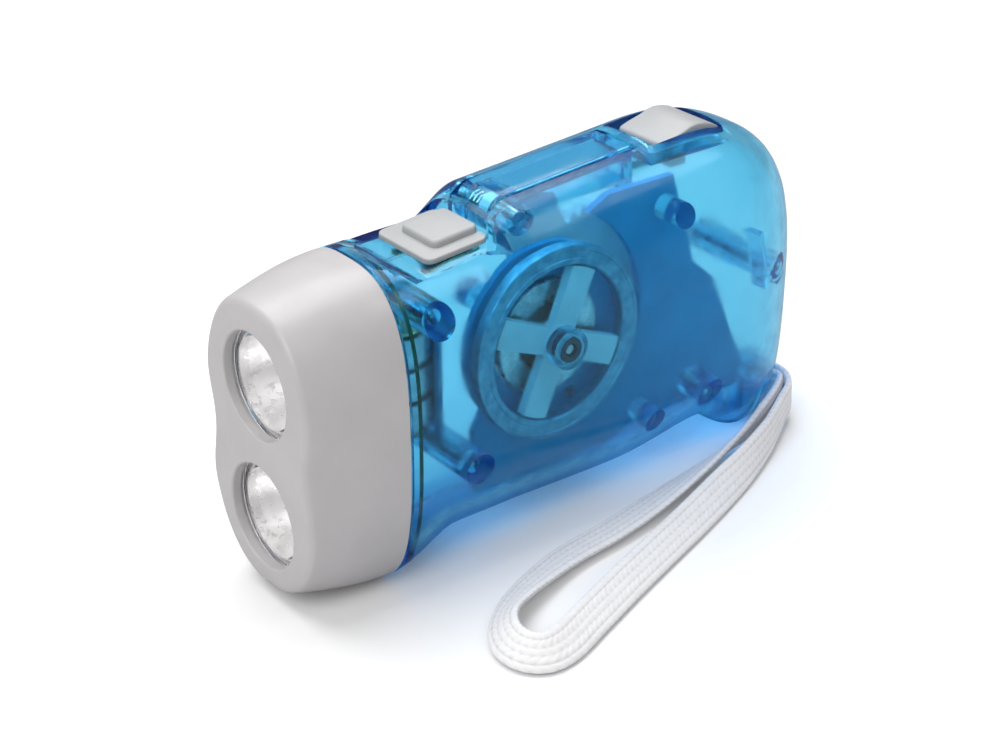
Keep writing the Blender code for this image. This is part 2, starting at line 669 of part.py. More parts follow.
def far_shell():
    """Far half: long bosses, gear axle seats and sunk screw holes."""
    kept = [scoop_backing(), latch_backing(), pin_bosses(),
            rod(DRIVE, AXLE_BOSS_RADIUS, DRIVE_BOSS_Y, DEEP),
            rod(CLUTCH, AXLE_BOSS_RADIUS, CLUTCH_BOSS_Y, DEEP),
            rod(ROTOR, AXLE_BOSS_RADIUS, ROTOR_BOSS_Y, DEEP),
            rod(BOARD_POST, POST_RADIUS, BOARD_POST_Y, DEEP)]
    kept += [rod(place, BOSS_RADIUS, -PARTING, DEEP) for place in SCREW_PLACES.values()]
    room = cut(case_room(), *kept)
    holes = [rod(DRIVE, AXLE_RADIUS + FIT, DRIVE_BOSS_Y - OVERRUN, AXLE_FAR_Y + FIT),
             rod(CLUTCH, AXLE_RADIUS + FIT, CLUTCH_BOSS_Y - OVERRUN, AXLE_FAR_Y + FIT),
             rod(ROTOR, ROTOR_SHAFT_RADIUS + FIT, ROTOR_BOSS_Y - OVERRUN, ROTOR_FAR_Y + FIT)]
    shell = cut(half_blank(1), under_floor(), room, *top_openings(), *holes)
    spigot = rod(SCREW_PLACES["rear_top"], BOSS_RADIUS - FIT, REAR_BOSS_END_Y, OVERRUN)
    shell = fused(shell, spigot)
    bores = []
    for name, place in SCREW_PLACES.items():
        bores.append(rod(place, SCREW_SHANK_RADIUS + FIT, REAR_BOSS_END_Y - OVERRUN, DEEP))
        bores.append(rod(place, SCREW_HEAD_RADIUS + FIT, screw_head_low(name) - FIT, DEEP))
    return cut(shell, *bores)


# Lamps: axes along X, one above the other
LAMP_PLACES = {"low": (0, LAMP_LOW_Z), "high": (0, LAMP_LOW_Z + LAMP_SPACING)}
APERTURE_RADIUS = 0.0082
APERTURE_CHAMFER = 0.0004
SEAT_RADIUS = 0.0089
LIP_THICK = 0.0015
LENS_THICK = 0.0011
FLANGE_THICK = 0.0008
LAMP_SEGMENTS = 32
REFLECTOR_DEPTH = 0.0088
BOWL_RADIUS = 0.0079
BOWL_HOLE_RADIUS = 0.0028
BOWL_WALL = 0.0007
LED_RADIUS = 0.0024
LED_TIP = 0.0043
LED_LENGTH = 0.0065
LED_FLANGE_RADIUS = 0.0029
LED_FLANGE_THICK = 0.0010
BOARD_THICK = 0.0012
LAMP_BOARD_HALF = 0.0075
LAMP_BOARD_CORNER = 0.0025


def head_shell():
    """The grey head: one moulding with two stepped round apertures."""
    angles = full_angles()
    rings = []
    for turn in (0, 22, 45, 68, 90):
        drawn = FACE_ROUND * (1 - math.sin(math.radians(turn)))
        x = FACE_ROUND * (1 - math.cos(math.radians(turn)))
        rings.append(head_ring(x, drawn, angles))
    rear = HEAD_LENGTH - PARTING
    rings += [head_ring(x, 0, angles) for x in spread(FACE_ROUND, rear, 5)]
    inner = [head_ring(x, HEAD_WALL, angles) for x in [FACE_THICK] + spread(FACE_THICK, rear, 3)]
    inner.append([(rear + OVERRUN, y, z) for _, y, z in inner[-1]])
    holes = []
    for place in LAMP_PLACES.values():
        wide = APERTURE_RADIUS + APERTURE_CHAMFER
        profile = [(0, -OVERRUN), (wide + OVERRUN, -OVERRUN), (wide, 0), (APERTURE_RADIUS, APERTURE_CHAMFER),
                   (APERTURE_RADIUS, LIP_THICK), (SEAT_RADIUS, LIP_THICK), (SEAT_RADIUS, FACE_THICK + SINK),
                   (0, FACE_THICK + SINK)]
        holes.append(turned(profile, place, "x", LAMP_SEGMENTS))
    return cut(loft(rings), under_floor(), loft(inner), *holes)


def lens(place):
    low = LIP_THICK + FIT
    return turned([(0, low), (SEAT_RADIUS - FIT, low), (SEAT_RADIUS - FIT, low + LENS_THICK),
                   (0, low + LENS_THICK)], place, "x", LAMP_SEGMENTS)


def reflector(place):
    """A bowl with a flange, open at its bottom for the lamp."""
    front = LIP_THICK + LENS_THICK + 2 * FIT
    profile = [(BOWL_RADIUS, front)]
    steps = 5
    for k in range(1, steps + 1):
        share = k / steps
        radius = blend(BOWL_HOLE_RADIUS, BOWL_RADIUS, math.sqrt(1 - share))
        profile.append((radius, front + REFLECTOR_DEPTH * share))
    outer = [(radius + BOWL_WALL, x) for radius, x in reversed(profile[1:])]
    outer += [(BOWL_RADIUS + SINK, front + FLANGE_THICK), (SEAT_RADIUS - FIT, front + FLANGE_THICK),
              (SEAT_RADIUS - FIT, front)]
    return turned(profile + outer, place, "x", LAMP_SEGMENTS)


def led(place):
    """Round-nosed lamp with its collar."""
    nose = LIP_THICK + LENS_THICK + 2 * FIT + LED_TIP
    profile = [(0, nose)]
    for turn in (30, 60, 90):
        bend = math.radians(turn)
        profile.append((LED_RADIUS * math.sin(bend), nose + LED_RADIUS * (1 - math.cos(bend))))
    end = nose + LED_LENGTH
    profile += [(LED_RADIUS, end - LED_FLANGE_THICK), (LED_FLANGE_RADIUS, end - LED_FLANGE_THICK),
                (LED_FLANGE_RADIUS, end), (0, end)]
    return turned(profile, place, "x", 16)


def lamp_board():
    """Board across the neck that carries both lamps."""
    front = LIP_THICK + LENS_THICK + 3 * FIT + LED_TIP + LED_LENGTH
    reach = LED_FLANGE_RADIUS + LAMP_BOARD_CORNER * 2
    low, high = LAMP_LOW_Z - reach, LAMP_LOW_Z + LAMP_SPACING + reach
    corner = LAMP_BOARD_CORNER
    half = LAMP_BOARD_HALF
    outline = [(-half + corner, low), (half - corner, low), (half, low + corner), (half, high - corner),
               (half - corner, high), (-half + corner, high), (-half, high - corner), (-half, low + corner)]
    return prism(outline, front, front + BOARD_THICK, "x")


# Lever: a channel open below, its top flush with the case
LEVER_HALF = 0.0042
LEVER_INNER_HALF = 0.0029
LEVER_TOP_THICK = 0.0016
LEVER_BARREL = 0.0032
LEVER_BARREL_INNER = 0.0025
LEVER_SKIRT_Z = 0.0502
LEVER_SKIRT_FRONT_X = CASE_LENGTH * 0.44608
LEVER_REAR_WALL = 0.0013
LEVER_REAR_LOW_Z = 0.0472
NOTCH_LOW_Z = 0.0502
NOTCH_HIGH_Z = 0.0526
NOTCH_HALF = 0.0022
STOP_HALF_INNER = 0.0022
STOP_REACH = 0.0008
STOP_FACE_ANGLE = 6.7
STOP_LUG_DEGREES = 2.1
STOP_HIGH_ANGLE = STOP_FACE_ANGLE - LEVER_SWING
STOP_LOW_ANGLE = STOP_HIGH_ANGLE - STOP_LUG_DEGREES


def lever_top_point(radius, lower):
    """Where the lever's rear face meets its top, lowered by lower."""
    x = LEVER_PIVOT_X + radius
    for _ in range(6):
        z = top_line(x) - lower
        x = LEVER_PIVOT_X + math.sqrt(radius ** 2 - (z - LEVER_PIVOT_Z) ** 2)
    return x, z


def rear_face(radius, low_z, top):
    """Points up the lever's rear face, which is round about the pivot."""
    low = math.degrees(math.asin((low_z - LEVER_PIVOT_Z) / radius))
    high = direction(PIVOT, top)
    return arc(PIVOT, radius, low, high, 4)


def press_lever():
    top = lever_top_point(LEVER_LENGTH, 0)
    outline = arc(PIVOT, LEVER_BARREL, 90, 270, 10)
    outline += [(LEVER_SKIRT_FRONT_X, LEVER_SKIRT_Z),
                (LEVER_PIVOT_X + LEVER_LENGTH - 2.5 * LEVER_REAR_WALL, LEVER_SKIRT_Z)]
    outline += rear_face(LEVER_LENGTH, LEVER_REAR_LOW_Z, top)
    outline += [(x, top_line(x)) for x in spread(top[0], LEVER_PIVOT_X + LEVER_BARREL / 2, 4)]
    inner_radius = LEVER_LENGTH - LEVER_REAR_WALL
    inner_top = lever_top_point(inner_radius, LEVER_TOP_THICK)
    hollow = arc(PIVOT, LEVER_BARREL_INNER, 90, 180, 5)
    low = LEVER_PIVOT_Z - 2 * LEVER_BARREL
    hollow += [(LEVER_PIVOT_X - LEVER_BARREL_INNER, low)]
    hollow += rear_face(inner_radius, LEVER_REAR_LOW_Z - OVERRUN, inner_top)
    hollow += [(x, top_line(x) - LEVER_TOP_THICK)
               for x in spread(inner_top[0], LEVER_PIVOT_X + LEVER_BARREL / 2, 3)]
    tail = arc(PIVOT, LEVER_LENGTH - SINK, -8, STOP_HIGH_ANGLE, 3)
    tail += [polar(PIVOT, LEVER_LENGTH + STOP_REACH, STOP_HIGH_ANGLE),
             polar(PIVOT, LEVER_LENGTH + STOP_REACH, STOP_LOW_ANGLE)]
    tail += arc(PIVOT, inner_radius + SINK, STOP_LOW_ANGLE, -8, 3)
    notch = box((LEVER_SKIRT_FRONT_X + LEVER_BARREL, -NOTCH_HALF, NOTCH_LOW_Z),
                (LEVER_PIVOT_X + LEVER_LENGTH + OVERRUN, NOTCH_HALF, NOTCH_HIGH_Z))
    body = cut(prism(outline, -LEVER_HALF, LEVER_HALF), prism(hollow, -LEVER_INNER_HALF, LEVER_INNER_HALF))
    body = fused(body, prism(tail, -LEVER_HALF + SINK, -STOP_HALF_INNER))
    return cut(body, notch, rod(PIVOT, LEVER_PIN_RADIUS + FIT, -LEVER_HALF - OVERRUN, LEVER_HALF + OVERRUN))


# Gears: straight-flanked teeth, two points on each flank


def tooth(center, radius, module, angle, pitch):
    """Four points across one tooth, in order of rising angle."""
    root, tip = radius - 1.1 * module, radius + 0.8 * module
    middle = pitch / 4 - LASH / 2 / radius
    low = middle + 1.1 * module * math.tan(PRESSURE_ANGLE) / radius
    high = middle - 0.8 * module * math.tan(PRESSURE_ANGLE) / radius
    turns = [(root, -low), (tip, -high), (tip, high), (root, low)]
    return [(center[0] + r * math.cos(angle + turn), center[1] + r * math.sin(angle + turn))
            for r, turn in turns]


def gear(center, teeth, module, phase, low, high):
    """A gear wheel whose first tooth points along phase, in degrees."""
    pitch = 2 * math.pi / teeth
    outline = []
    for k in range(teeth):
        outline += tooth(center, teeth * module / 2, module, math.radians(phase) + k * pitch, pitch)
    return prism(outline, low, high)


def facing_phase(center, other, other_phase, other_teeth, teeth):
    """Phase of a gear whose gap takes the other gear's tooth."""
    toward = direction(other, center)
    return toward + 180 - (other_phase - toward) * other_teeth / teeth + 180 / teeth


SECTOR_HUB_RADIUS = 0.0022
SECTOR_ARM_RADIUS = 0.0095


def sector_gear():
    """Toothed sector fixed in the lever, on the lever's pin."""
    pitch = 2 * math.pi / SECTOR_TEETH
    radius = SECTOR_TEETH * SECTOR_MODULE / 2
    step = math.degrees(pitch)
    root = radius - 1.1 * SECTOR_MODULE
    last = DRIVE_DIRECTION - (SECTOR_CUT_TEETH - 1) * step
    outline = arc(PIVOT, SECTOR_HUB_RADIUS, 60, 288, 12)
    outline.append(polar(PIVOT, root, last - step / 2))
    for k in range(SECTOR_CUT_TEETH):
        outline += tooth(PIVOT, radius, SECTOR_MODULE, math.radians(last + k * step), pitch)
    outline += [polar(PIVOT, root, DRIVE_DIRECTION + step / 2), polar(PIVOT, SECTOR_ARM_RADIUS, 2)]
    plate = prism(outline, SECTOR_LOW_Y, SECTOR_HIGH_Y)
    return cut(plate, rod(PIVOT, LEVER_PIN_RADIUS + FIT, SECTOR_LOW_Y - OVERRUN, SECTOR_HIGH_Y + OVERRUN))


DRIVE_PINION_PHASE = facing_phase(DRIVE, PIVOT, DRIVE_DIRECTION, SECTOR_TEETH, DRIVE_PINION_TEETH)
DRIVE_WHEEL_PHASE = direction(DRIVE, CLUTCH)
CLUTCH_PINION_PHASE = facing_phase(CLUTCH, DRIVE, DRIVE_WHEEL_PHASE, DRIVE_WHEEL_TEETH, CLUTCH_PINION_TEETH)
CLUTCH_WHEEL_PHASE = direction(CLUTCH, ROTOR)
ROTOR_PINION_PHASE = facing_phase(ROTOR, CLUTCH, CLUTCH_WHEEL_PHASE, CLUTCH_WHEEL_TEETH, ROTOR_PINION_TEETH)


def bored(mesh, center, radius, low, high):
    return cut(mesh, rod(center, radius + FIT, low - OVERRUN, high + OVERRUN, count=12))


def drive_gear():
    pinion = gear(DRIVE, DRIVE_PINION_TEETH, SECTOR_MODULE, DRIVE_PINION_PHASE,
                  DRIVE_PINION_LOW_Y, DRIVE_WHEEL_LOW_Y + SINK)
    wheel = gear(DRIVE, DRIVE_WHEEL_TEETH, DRIVE_MODULE, DRIVE_WHEEL_PHASE,
                 DRIVE_WHEEL_LOW_Y, DRIVE_WHEEL_HIGH_Y)
    return bored(fused(wheel, pinion), DRIVE, AXLE_RADIUS, DRIVE_PINION_LOW_Y, DRIVE_WHEEL_HIGH_Y)


STAR_TIP_RADIUS = 0.0044
STAR_ROOT_RADIUS = 0.0036
STAR_POINTS = 8
PAWL_RING_RADIUS = 0.0066
PAWL_RING_INNER = 0.0054
PAWL_TIP_RADIUS = 0.0047
PAWL_HALF = 0.0006
PAWLS = 3


def clutch_pinion():
    """Pinion with the slanted teeth of the one-way clutch on its far face."""
    pinion = gear(CLUTCH, CLUTCH_PINION_TEETH, DRIVE_MODULE, CLUTCH_PINION_PHASE,
                  CLUTCH_PINION_LOW_Y, STAR_LOW_Y + SINK)
    star = []
    for k in range(STAR_POINTS):
        turn = 360 / STAR_POINTS
        star += [polar(CLUTCH, STAR_TIP_RADIUS, k * turn),
                 polar(CLUTCH, STAR_ROOT_RADIUS, k * turn + turn / 6)]
    body = fused(pinion, prism(star, STAR_LOW_Y, STAR_HIGH_Y))
    return bored(body, CLUTCH, AXLE_RADIUS, CLUTCH_PINION_LOW_Y, STAR_HIGH_Y)


def clutch_wheel():
    """Wheel with the pawl ring that the clutch's star drives."""
    wheel = gear(CLUTCH, CLUTCH_WHEEL_TEETH, CLUTCH_MODULE, CLUTCH_WHEEL_PHASE,
                 CLUTCH_WHEEL_LOW_Y, CLUTCH_WHEEL_HIGH_Y)
    ring = rod(CLUTCH, PAWL_RING_RADIUS, PAWL_RING_LOW_Y, CLUTCH_WHEEL_LOW_Y + SINK, count=24)
    inside = rod(CLUTCH, PAWL_RING_INNER, PAWL_RING_LOW_Y - OVERRUN, CLUTCH_WHEEL_LOW_Y - SINK, count=24)
    pawls = []
    for k in range(PAWLS):
        angle = (k + 0.5) * 360 / PAWLS
        wide = math.degrees(PAWL_HALF / PAWL_RING_INNER)
        outline = [polar(CLUTCH, PAWL_TIP_RADIUS, angle - wide),
                   polar(CLUTCH, PAWL_RING_INNER + SINK, angle - wide),
                   polar(CLUTCH, PAWL_RING_INNER + SINK, angle + wide),
                   polar(CLUTCH, PAWL_TIP_RADIUS, angle)]
        pawls.append(prism(outline, PAWL_RING_LOW_Y + SINK, CLUTCH_WHEEL_LOW_Y))
    body = fused(cut(fused(wheel, ring), inside), *pawls)
    return bored(body, CLUTCH, AXLE_RADIUS, PAWL_RING_LOW_Y, CLUTCH_WHEEL_HIGH_Y)


def rotor_pinion():
    body = gear(ROTOR, ROTOR_PINION_TEETH, CLUTCH_MODULE, ROTOR_PINION_PHASE,
                ROTOR_PINION_LOW_Y, ROTOR_PINION_HIGH_Y)
    return bored(body, ROTOR, ROTOR_SHAFT_RADIUS, ROTOR_PINION_LOW_Y, ROTOR_PINION_HIGH_Y)


def tube(center, outer, inner, low, high, count=24):
    """A ring or sleeve with square edges."""
    return turned([(inner, low), (outer, low), (outer, high), (inner, high)], center, "y", count)


# Flywheel, magnet and stator
RIM_OUTER = 0.0155
RIM_INNER = 0.0124
RIM_BEVEL = 0.0005
SPOKES = 4
SPOKE_PHASE = 67
SPOKE_WIDTH = 0.0046
SPOKE_REACH = 0.0121
SPOKE_INSET = 0.0003
HUB_RADIUS = 0.0032
HUB_SLEEVE = 0.0004
MAGNET_RADIUS = 0.0052
STATOR_RADIUS = 0.0092
STATOR_INNER = 0.0056
STATOR_PLATE = 0.0007
STATOR_RIM = 0.0005
COIL_INNER = 0.0059
COIL_OUTER = 0.0084


def flywheel_rim():
    low, high, bevel = FLYWHEEL_LOW_Y, FLYWHEEL_HIGH_Y, RIM_BEVEL
    profile = [(RIM_INNER, low), (RIM_OUTER - bevel, low), (RIM_OUTER, low + bevel),
               (RIM_OUTER, high - bevel), (RIM_OUTER - bevel, high), (RIM_INNER, high)]
    return turned(profile, ROTOR, "y", 40)


def flywheel_hub():
    """Spoked hub; its sleeve faces the magnet."""
    low, high = FLYWHEEL_LOW_Y + SPOKE_INSET, FLYWHEEL_HIGH_Y - SPOKE_INSET
    outline = []
    half = math.degrees(math.asin(SPOKE_WIDTH / 2 / SPOKE_REACH))
    root_half = math.degrees(math.asin(SPOKE_WIDTH / 2 / HUB_RADIUS))
    for k in range(SPOKES):
        middle = SPOKE_PHASE + k * 360 / SPOKES
        outline.append(polar(ROTOR, HUB_RADIUS * 1.05, middle - min(root_half, 40)))
        outline += arc(ROTOR, SPOKE_REACH, middle - half, middle + half, 3)
        outline.append(polar(ROTOR, HUB_RADIUS * 1.05, middle + min(root_half, 40)))
    sleeve = rod(ROTOR, HUB_RADIUS - SINK, FLYWHEEL_LOW_Y, FLYWHEEL_HIGH_Y + HUB_SLEEVE, count=20)
    body = fused(prism(outline, low, high), sleeve)
    return bored(body, ROTOR, ROTOR_SHAFT_RADIUS, FLYWHEEL_LOW_Y, FLYWHEEL_HIGH_Y + HUB_SLEEVE)


def stator_cup(side):
    """Stamped cup: side -1 opens away from the near side, +1 the other way."""
    end = STATOR_LOW_Y if side < 0 else STATOR_HIGH_Y
    middle = (STATOR_LOW_Y + STATOR_HIGH_Y) / 2 + side * PARTING
    step = -side * STATOR_PLATE
    profile = [(STATOR_INNER, end), (STATOR_RADIUS, end), (STATOR_RADIUS, middle),
               (STATOR_RADIUS - STATOR_RIM, middle), (STATOR_RADIUS - STATOR_RIM, end + step),
               (STATOR_INNER, end + step)]
    return turned(profile, ROTOR, "y", 24)


def coil_winding():
    inset = STATOR_PLATE + FIT
    return tube(ROTOR, COIL_OUTER, COIL_INNER, STATOR_LOW_Y + inset, STATOR_HIGH_Y - inset)


# Grey plate that carries the near ends of the axles, open round the rotor
BRACKET_RING_INNER = 0.0096
BRACKET_RING_OUTER = 0.0148
BRACKET_GAP_OUTER = 0.0193
BRACKET_LOBE = 0.0028
BRACKET_ARC_END = 218
BRACKET_SHARES = [(0.32549, 0.33333), (0.32549, 0.14737), (0.33529, 0.13158), (0.58824, 0.13158),
                  (0.64706, 0.16667), (0.86275, 0.16667), (0.87745, 0.22807), (0.79902, 0.54035),
                  (0.75490, 0.61053), (0.70588, 0.88596), (0.57843, 0.88596)]


def gear_bracket():
    outline = arc(ROTOR, BRACKET_RING_OUTER, 80, BRACKET_ARC_END, 16) + side_view(BRACKET_SHARES)
    plate = prism(outline, BRACKET_LOW_Y, BRACKET_HIGH_Y)
    low, high = BRACKET_LOW_Y - OVERRUN, BRACKET_HIGH_Y + OVERRUN
    gap = arc(ROTOR, BRACKET_RING_OUTER, -18, 96, 12) + arc(ROTOR, BRACKET_GAP_OUTER, 96, -18, 12)
    gap = cut(prism(gap, low, high), rod(DRIVE, BRACKET_LOBE, low - OVERRUN, high + OVERRUN))
    holes = [rod(ROTOR, BRACKET_RING_INNER, low, high, count=32), rod(DRIVE, AXLE_RADIUS + FIT, low, high),
             rod(CLUTCH, AXLE_RADIUS + FIT, low, high),
             rod(SCREW_PLACES["rear_low"], BOSS_RADIUS + FIT, low, high)]
    return cut(plate, gap, *holes)


# Return spring of the lever: wire wound round the pin, one end under the lever's top, one against the case
SPRING_WIRE = 0.0004
SPRING_RADIUS = 0.0016
SPRING_PITCH = 0.00085
SPRING_TURNS = 2.25
SPRING_LOW_Y = 0.0005
SPRING_LEG = 0.0065
SPRING_SIDES = 6
SPRING_STEPS = 10
SPRING_LIFT = -6


def spring_points():
    """Middle line of the wire."""
    count = round(SPRING_TURNS * SPRING_STEPS)
    points = []
    for k in range(count + 1):
        turn = k / SPRING_STEPS
        x, z = polar(PIVOT, SPRING_RADIUS, 90 + SPRING_LIFT + turn * 360)
        points.append(Vector((x, SPRING_LOW_Y + turn * SPRING_PITCH, z)))
    last = math.radians(180 + SPRING_LIFT + SPRING_TURNS * 360)
    lead = Vector((math.cos(math.radians(SPRING_LIFT)), 0, math.sin(math.radians(SPRING_LIFT))))
    tail = Vector((math.cos(last), 0, math.sin(last)))
    return [points[0] + lead * SPRING_LEG] + points + [points[-1] + tail * SPRING_RADIUS * 1.5]


def wire(points, radius, sides):
    """Round wire along points, closed at both ends."""
    rings = []
    for k, point in enumerate(points):
        ahead = (points[min(k + 1, len(points) - 1)] - points[max(k - 1, 0)]).normalized()
        across = ahead.cross(Vector((0, 1, 0))).normalized()
        other = ahead.cross(across)
        rings.append([tuple(point + radius * (math.cos(a) * across + math.sin(a) * other))
                      for a in [2 * math.pi * j / sides for j in range(sides)]])
    return loft(rings)


def least_self_gap(points, radius, apart):
    """Smallest clear distance between stretches of the wire that are not neighbours along it."""
    gap = None
    for a in range(len(points)):
        for b in range(a + apart, len(points)):
            distance = (points[a] - points[b]).length - 2 * radius
            gap = distance if gap is None else min(gap, distance)
    return gap


# Slide switch
SWITCH_FRONT_X = CASE_LENGTH * 0.25196
SWITCH_LENGTH = CASE_LENGTH * 0.10784
SWITCH_HALF = 0.0066
SWITCH_THICK = 0.0008
SWITCH_CORNER = 0.0012
PAD_FRONT_X = CASE_LENGTH * 0.27843
PAD_HALF = 0.0043
PAD_HEIGHT = 0.0011
PAD_EDGE = 0.0005
SWITCH_STEM_HALF = 0.0020
SWITCH_STEM_LOW_Z = 0.0450


def scoop_floor(x):
    slope = (SCOOP_REAR_Z - SCOOP_BREAK_Z) / (SCOOP_REAR_X - SCOOP_BREAK_X)
    return SCOOP_BREAK_Z + slope * (x - SCOOP_BREAK_X)


def upright(edge):
    return abs(edge.verts[0].co.z - edge.verts[1].co.z) > abs(edge.verts[0].co.x - edge.verts[1].co.x) + \
        abs(edge.verts[0].co.y - edge.verts[1].co.y)


def switch_slider():
    """Plate along the scoop's floor, with a raised pad at its rear and a stem below."""
    rear = SWITCH_FRONT_X + SWITCH_LENGTH
    low_f, low_r = scoop_floor(SWITCH_FRONT_X) + FIT, scoop_floor(rear) + FIT
    plate = prism([(SWITCH_FRONT_X, low_f), (rear, low_r), (rear, low_r + SWITCH_THICK),
                   (SWITCH_FRONT_X, low_f + SWITCH_THICK)], -SWITCH_HALF, SWITCH_HALF)
    plate = rounded(plate, SWITCH_CORNER, 3, upright)
    pad_rear = rear - SINK
    low_f, low_r = scoop_floor(PAD_FRONT_X) + FIT + SINK, scoop_floor(pad_rear) + FIT + SINK
    lift = SWITCH_THICK + PAD_HEIGHT - SINK
    pad = prism([(PAD_FRONT_X, low_f), (pad_rear, low_r),
                 (pad_rear, low_r + lift), (PAD_FRONT_X, low_f + lift)], -PAD_HALF, PAD_HALF)
    top = scoop_floor(PAD_FRONT_X) + SWITCH_THICK + PAD_EDGE
    pad = rounded(pad, PAD_EDGE, 2, lambda edge: min(v.co.z for v in edge.verts) > top or upright(edge))
    stem_rear = SWITCH_STEM_FRONT_X + SWITCH_STEM_LENGTH
    stem = box((SWITCH_STEM_FRONT_X, -SWITCH_STEM_HALF, SWITCH_STEM_LOW_Z),
               (stem_rear, SWITCH_STEM_HALF, scoop_floor(stem_rear) + FIT + SWITCH_THICK / 2))
    return fused(plate, pad, stem)


CONTACT_THICK = 0.0004
CONTACT_WIDTH = 0.0014
CONTACT_LENGTH = 0.0100


def switch_contact(side):
    """Leaf beside the stem, under the scoop's wall."""
    y = side * (SWITCH_SLOT_HALF + FIT)
    outer = y + side * CONTACT_WIDTH
    rear = SWITCH_SLOT_FRONT_X + CONTACT_LENGTH
    high_f = scoop_floor(SWITCH_SLOT_FRONT_X) - WALL - FIT
    high_r = scoop_floor(rear) - WALL - FIT
    outline = [(SWITCH_SLOT_FRONT_X, high_f - CONTACT_THICK), (rear, high_r - CONTACT_THICK),
               (rear, high_r), (SWITCH_SLOT_FRONT_X, high_f)]
    return prism(outline, min(y, outer), max(y, outer))


# Latch: crowned plate, stem through the pocket floor, tongue towards the lever, feet under the floor
LATCH_HALF = 0.0051
LATCH_LOW_Z = 0.0545
LATCH_SHARES = [(0.69706, 0.95614), (0.81373, 0.95614), (0.81275, 0.97544), (0.79902, 0.98947),
                (0.78333, 0.99825), (0.76667, 1.00175), (0.75294, 0.99825), (0.74118, 0.98947),
                (0.71667, 0.97895), (0.70098, 0.97018), (0.69706, 0.96491)]
LATCH_CORNER = 0.0012
LATCH_STEM_HALF = 0.0026
LATCH_FOOT_LOW_Z = 0.0506
LATCH_FOOT_HIGH_Z = 0.0522
LATCH_FOOT_HALF = 0.0044
TONGUE_HALF = 0.0018
TONGUE_TIP_X = CASE_LENGTH * 0.65686
TONGUE_TAPER = 0.0006


def latch_slider():
    plate = rounded(prism(side_view(LATCH_SHARES), -LATCH_HALF, LATCH_HALF), LATCH_CORNER, 3, upright)
    stem = box((LATCH_STEM_FRONT_X, -LATCH_STEM_HALF, LATCH_FOOT_LOW_Z + SINK),
               (LATCH_STEM_REAR_X, LATCH_STEM_HALF, LATCH_LOW_Z + SINK))
    foot = box((LATCH_STEM_FRONT_X + SINK, -LATCH_FOOT_HALF, LATCH_FOOT_LOW_Z),
               (LATCH_STEM_REAR_X - SINK, LATCH_FOOT_HALF, LATCH_FOOT_HIGH_Z))
    low, high = LATCH_FOOT_LOW_Z + SINK, LATCH_FOOT_HIGH_Z - SINK
    tongue = prism([(LATCH_STEM_FRONT_X + 3 * SINK, low), (LATCH_STEM_FRONT_X + 3 * SINK, high),
                    (TONGUE_TIP_X + TONGUE_TAPER, high), (TONGUE_TIP_X, high - TONGUE_TAPER),
                    (TONGUE_TIP_X, low)], -TONGUE_HALF, TONGUE_HALF)
    return fused(plate, stem, foot, tongue)


def case_screw(name):
    """Pan-headed screw with a cross recess, its head sunk in the far side."""
    x, z = SCREW_PLACES[name]
    seat = screw_head_low(name)
    top = seat + SCREW_HEAD_HEIGHT
    tip = screw_tip(name)
    profile = [(0, tip), (SCREW_SHANK_RADIUS / 2, tip), (SCREW_SHANK_RADIUS, tip + SCREW_SHANK_RADIUS),
               (SCREW_SHANK_RADIUS, seat), (SCREW_HEAD_RADIUS, seat),
               (SCREW_HEAD_RADIUS, top - RECESS_WIDTH / 2),
               (SCREW_HEAD_RADIUS - RECESS_WIDTH / 2, top), (0, top)]
    body = turned(profile, (x, z), "y", 16)
    half, reach = RECESS_WIDTH / 2, RECESS_REACH
    low = top - RECESS_DEPTH
    bars = fused(box((x - half, low, z - reach), (x + half, top + OVERRUN, z + reach)),
                 box((x - reach, low + SINK, z - half), (x + reach, top + 2 * OVERRUN, z + half)))
    return cut(body, bars)


# Cells stacked upright in their holder behind the lamp board
CELL_RADIUS = 0.0058
CELL_HEIGHT = 0.0050
CELL_STEP = 0.0008
CELL_COUNT = 3
CELL_X = CASE_LENGTH * 0.23039
CELL_LOW_Z = 0.0217
HOLDER_WALL = 0.0010
HOLDER_OPENING = 0.0038


def cell_low(index):
    return CELL_LOW_Z + index * (CELL_HEIGHT + FIT)


def button_cell(index):
    """Cell with a narrower lower can."""
    low = cell_low(index)
    high = low + CELL_HEIGHT
    profile = [(0, low), (CELL_RADIUS - CELL_STEP, low), (CELL_RADIUS - CELL_STEP, low + CELL_STEP),
               (CELL_RADIUS, low + CELL_STEP + SINK), (CELL_RADIUS, high), (0, high)]
    return turned(profile, (CELL_X, 0), "z", 24)


def cell_contact(low):
    return rod((CELL_X, 0), CELL_RADIUS - CELL_STEP, low, low + CONTACT_THICK, "z", 24)


def cell_holder():
    """Sleeve round the cells, slotted on the near side, standing on the front low screw boss."""
    inner = CELL_RADIUS + FIT
    low = SCREW_PLACES["front_low"][1] + BOSS_RADIUS + FIT
    high = cell_low(CELL_COUNT) + CONTACT_THICK
    outer = rod((CELL_X, 0), inner + HOLDER_WALL, low, high, "z", 28)
    bore = rod((CELL_X, 0), inner, low - OVERRUN, high + OVERRUN, "z", 28)
    slot = box((CELL_X - HOLDER_OPENING, -inner - OVERRUN, low - OVERRUN),
               (CELL_X + HOLDER_OPENING, 0, high + OVERRUN))
    return cut(outer, bore, slot)


# Rectifier board with four diodes, on a post of the far half
BOARD_POST = (CASE_LENGTH * 0.22157, CREST_Z * 0.22105)
BOARD_POST_Y = CASE_HALF_WIDTH * 0.24658
BOARD_LOW = (CASE_LENGTH * 0.18824, CREST_Z * 0.11404)
BOARD_HIGH = (CASE_LENGTH * 0.26078, CREST_Z * 0.34211)
DIODE_RADIUS = 0.0009
DIODE_LENGTH = 0.0034
DIODE_SPACING = 0.0030
DIODES = 4


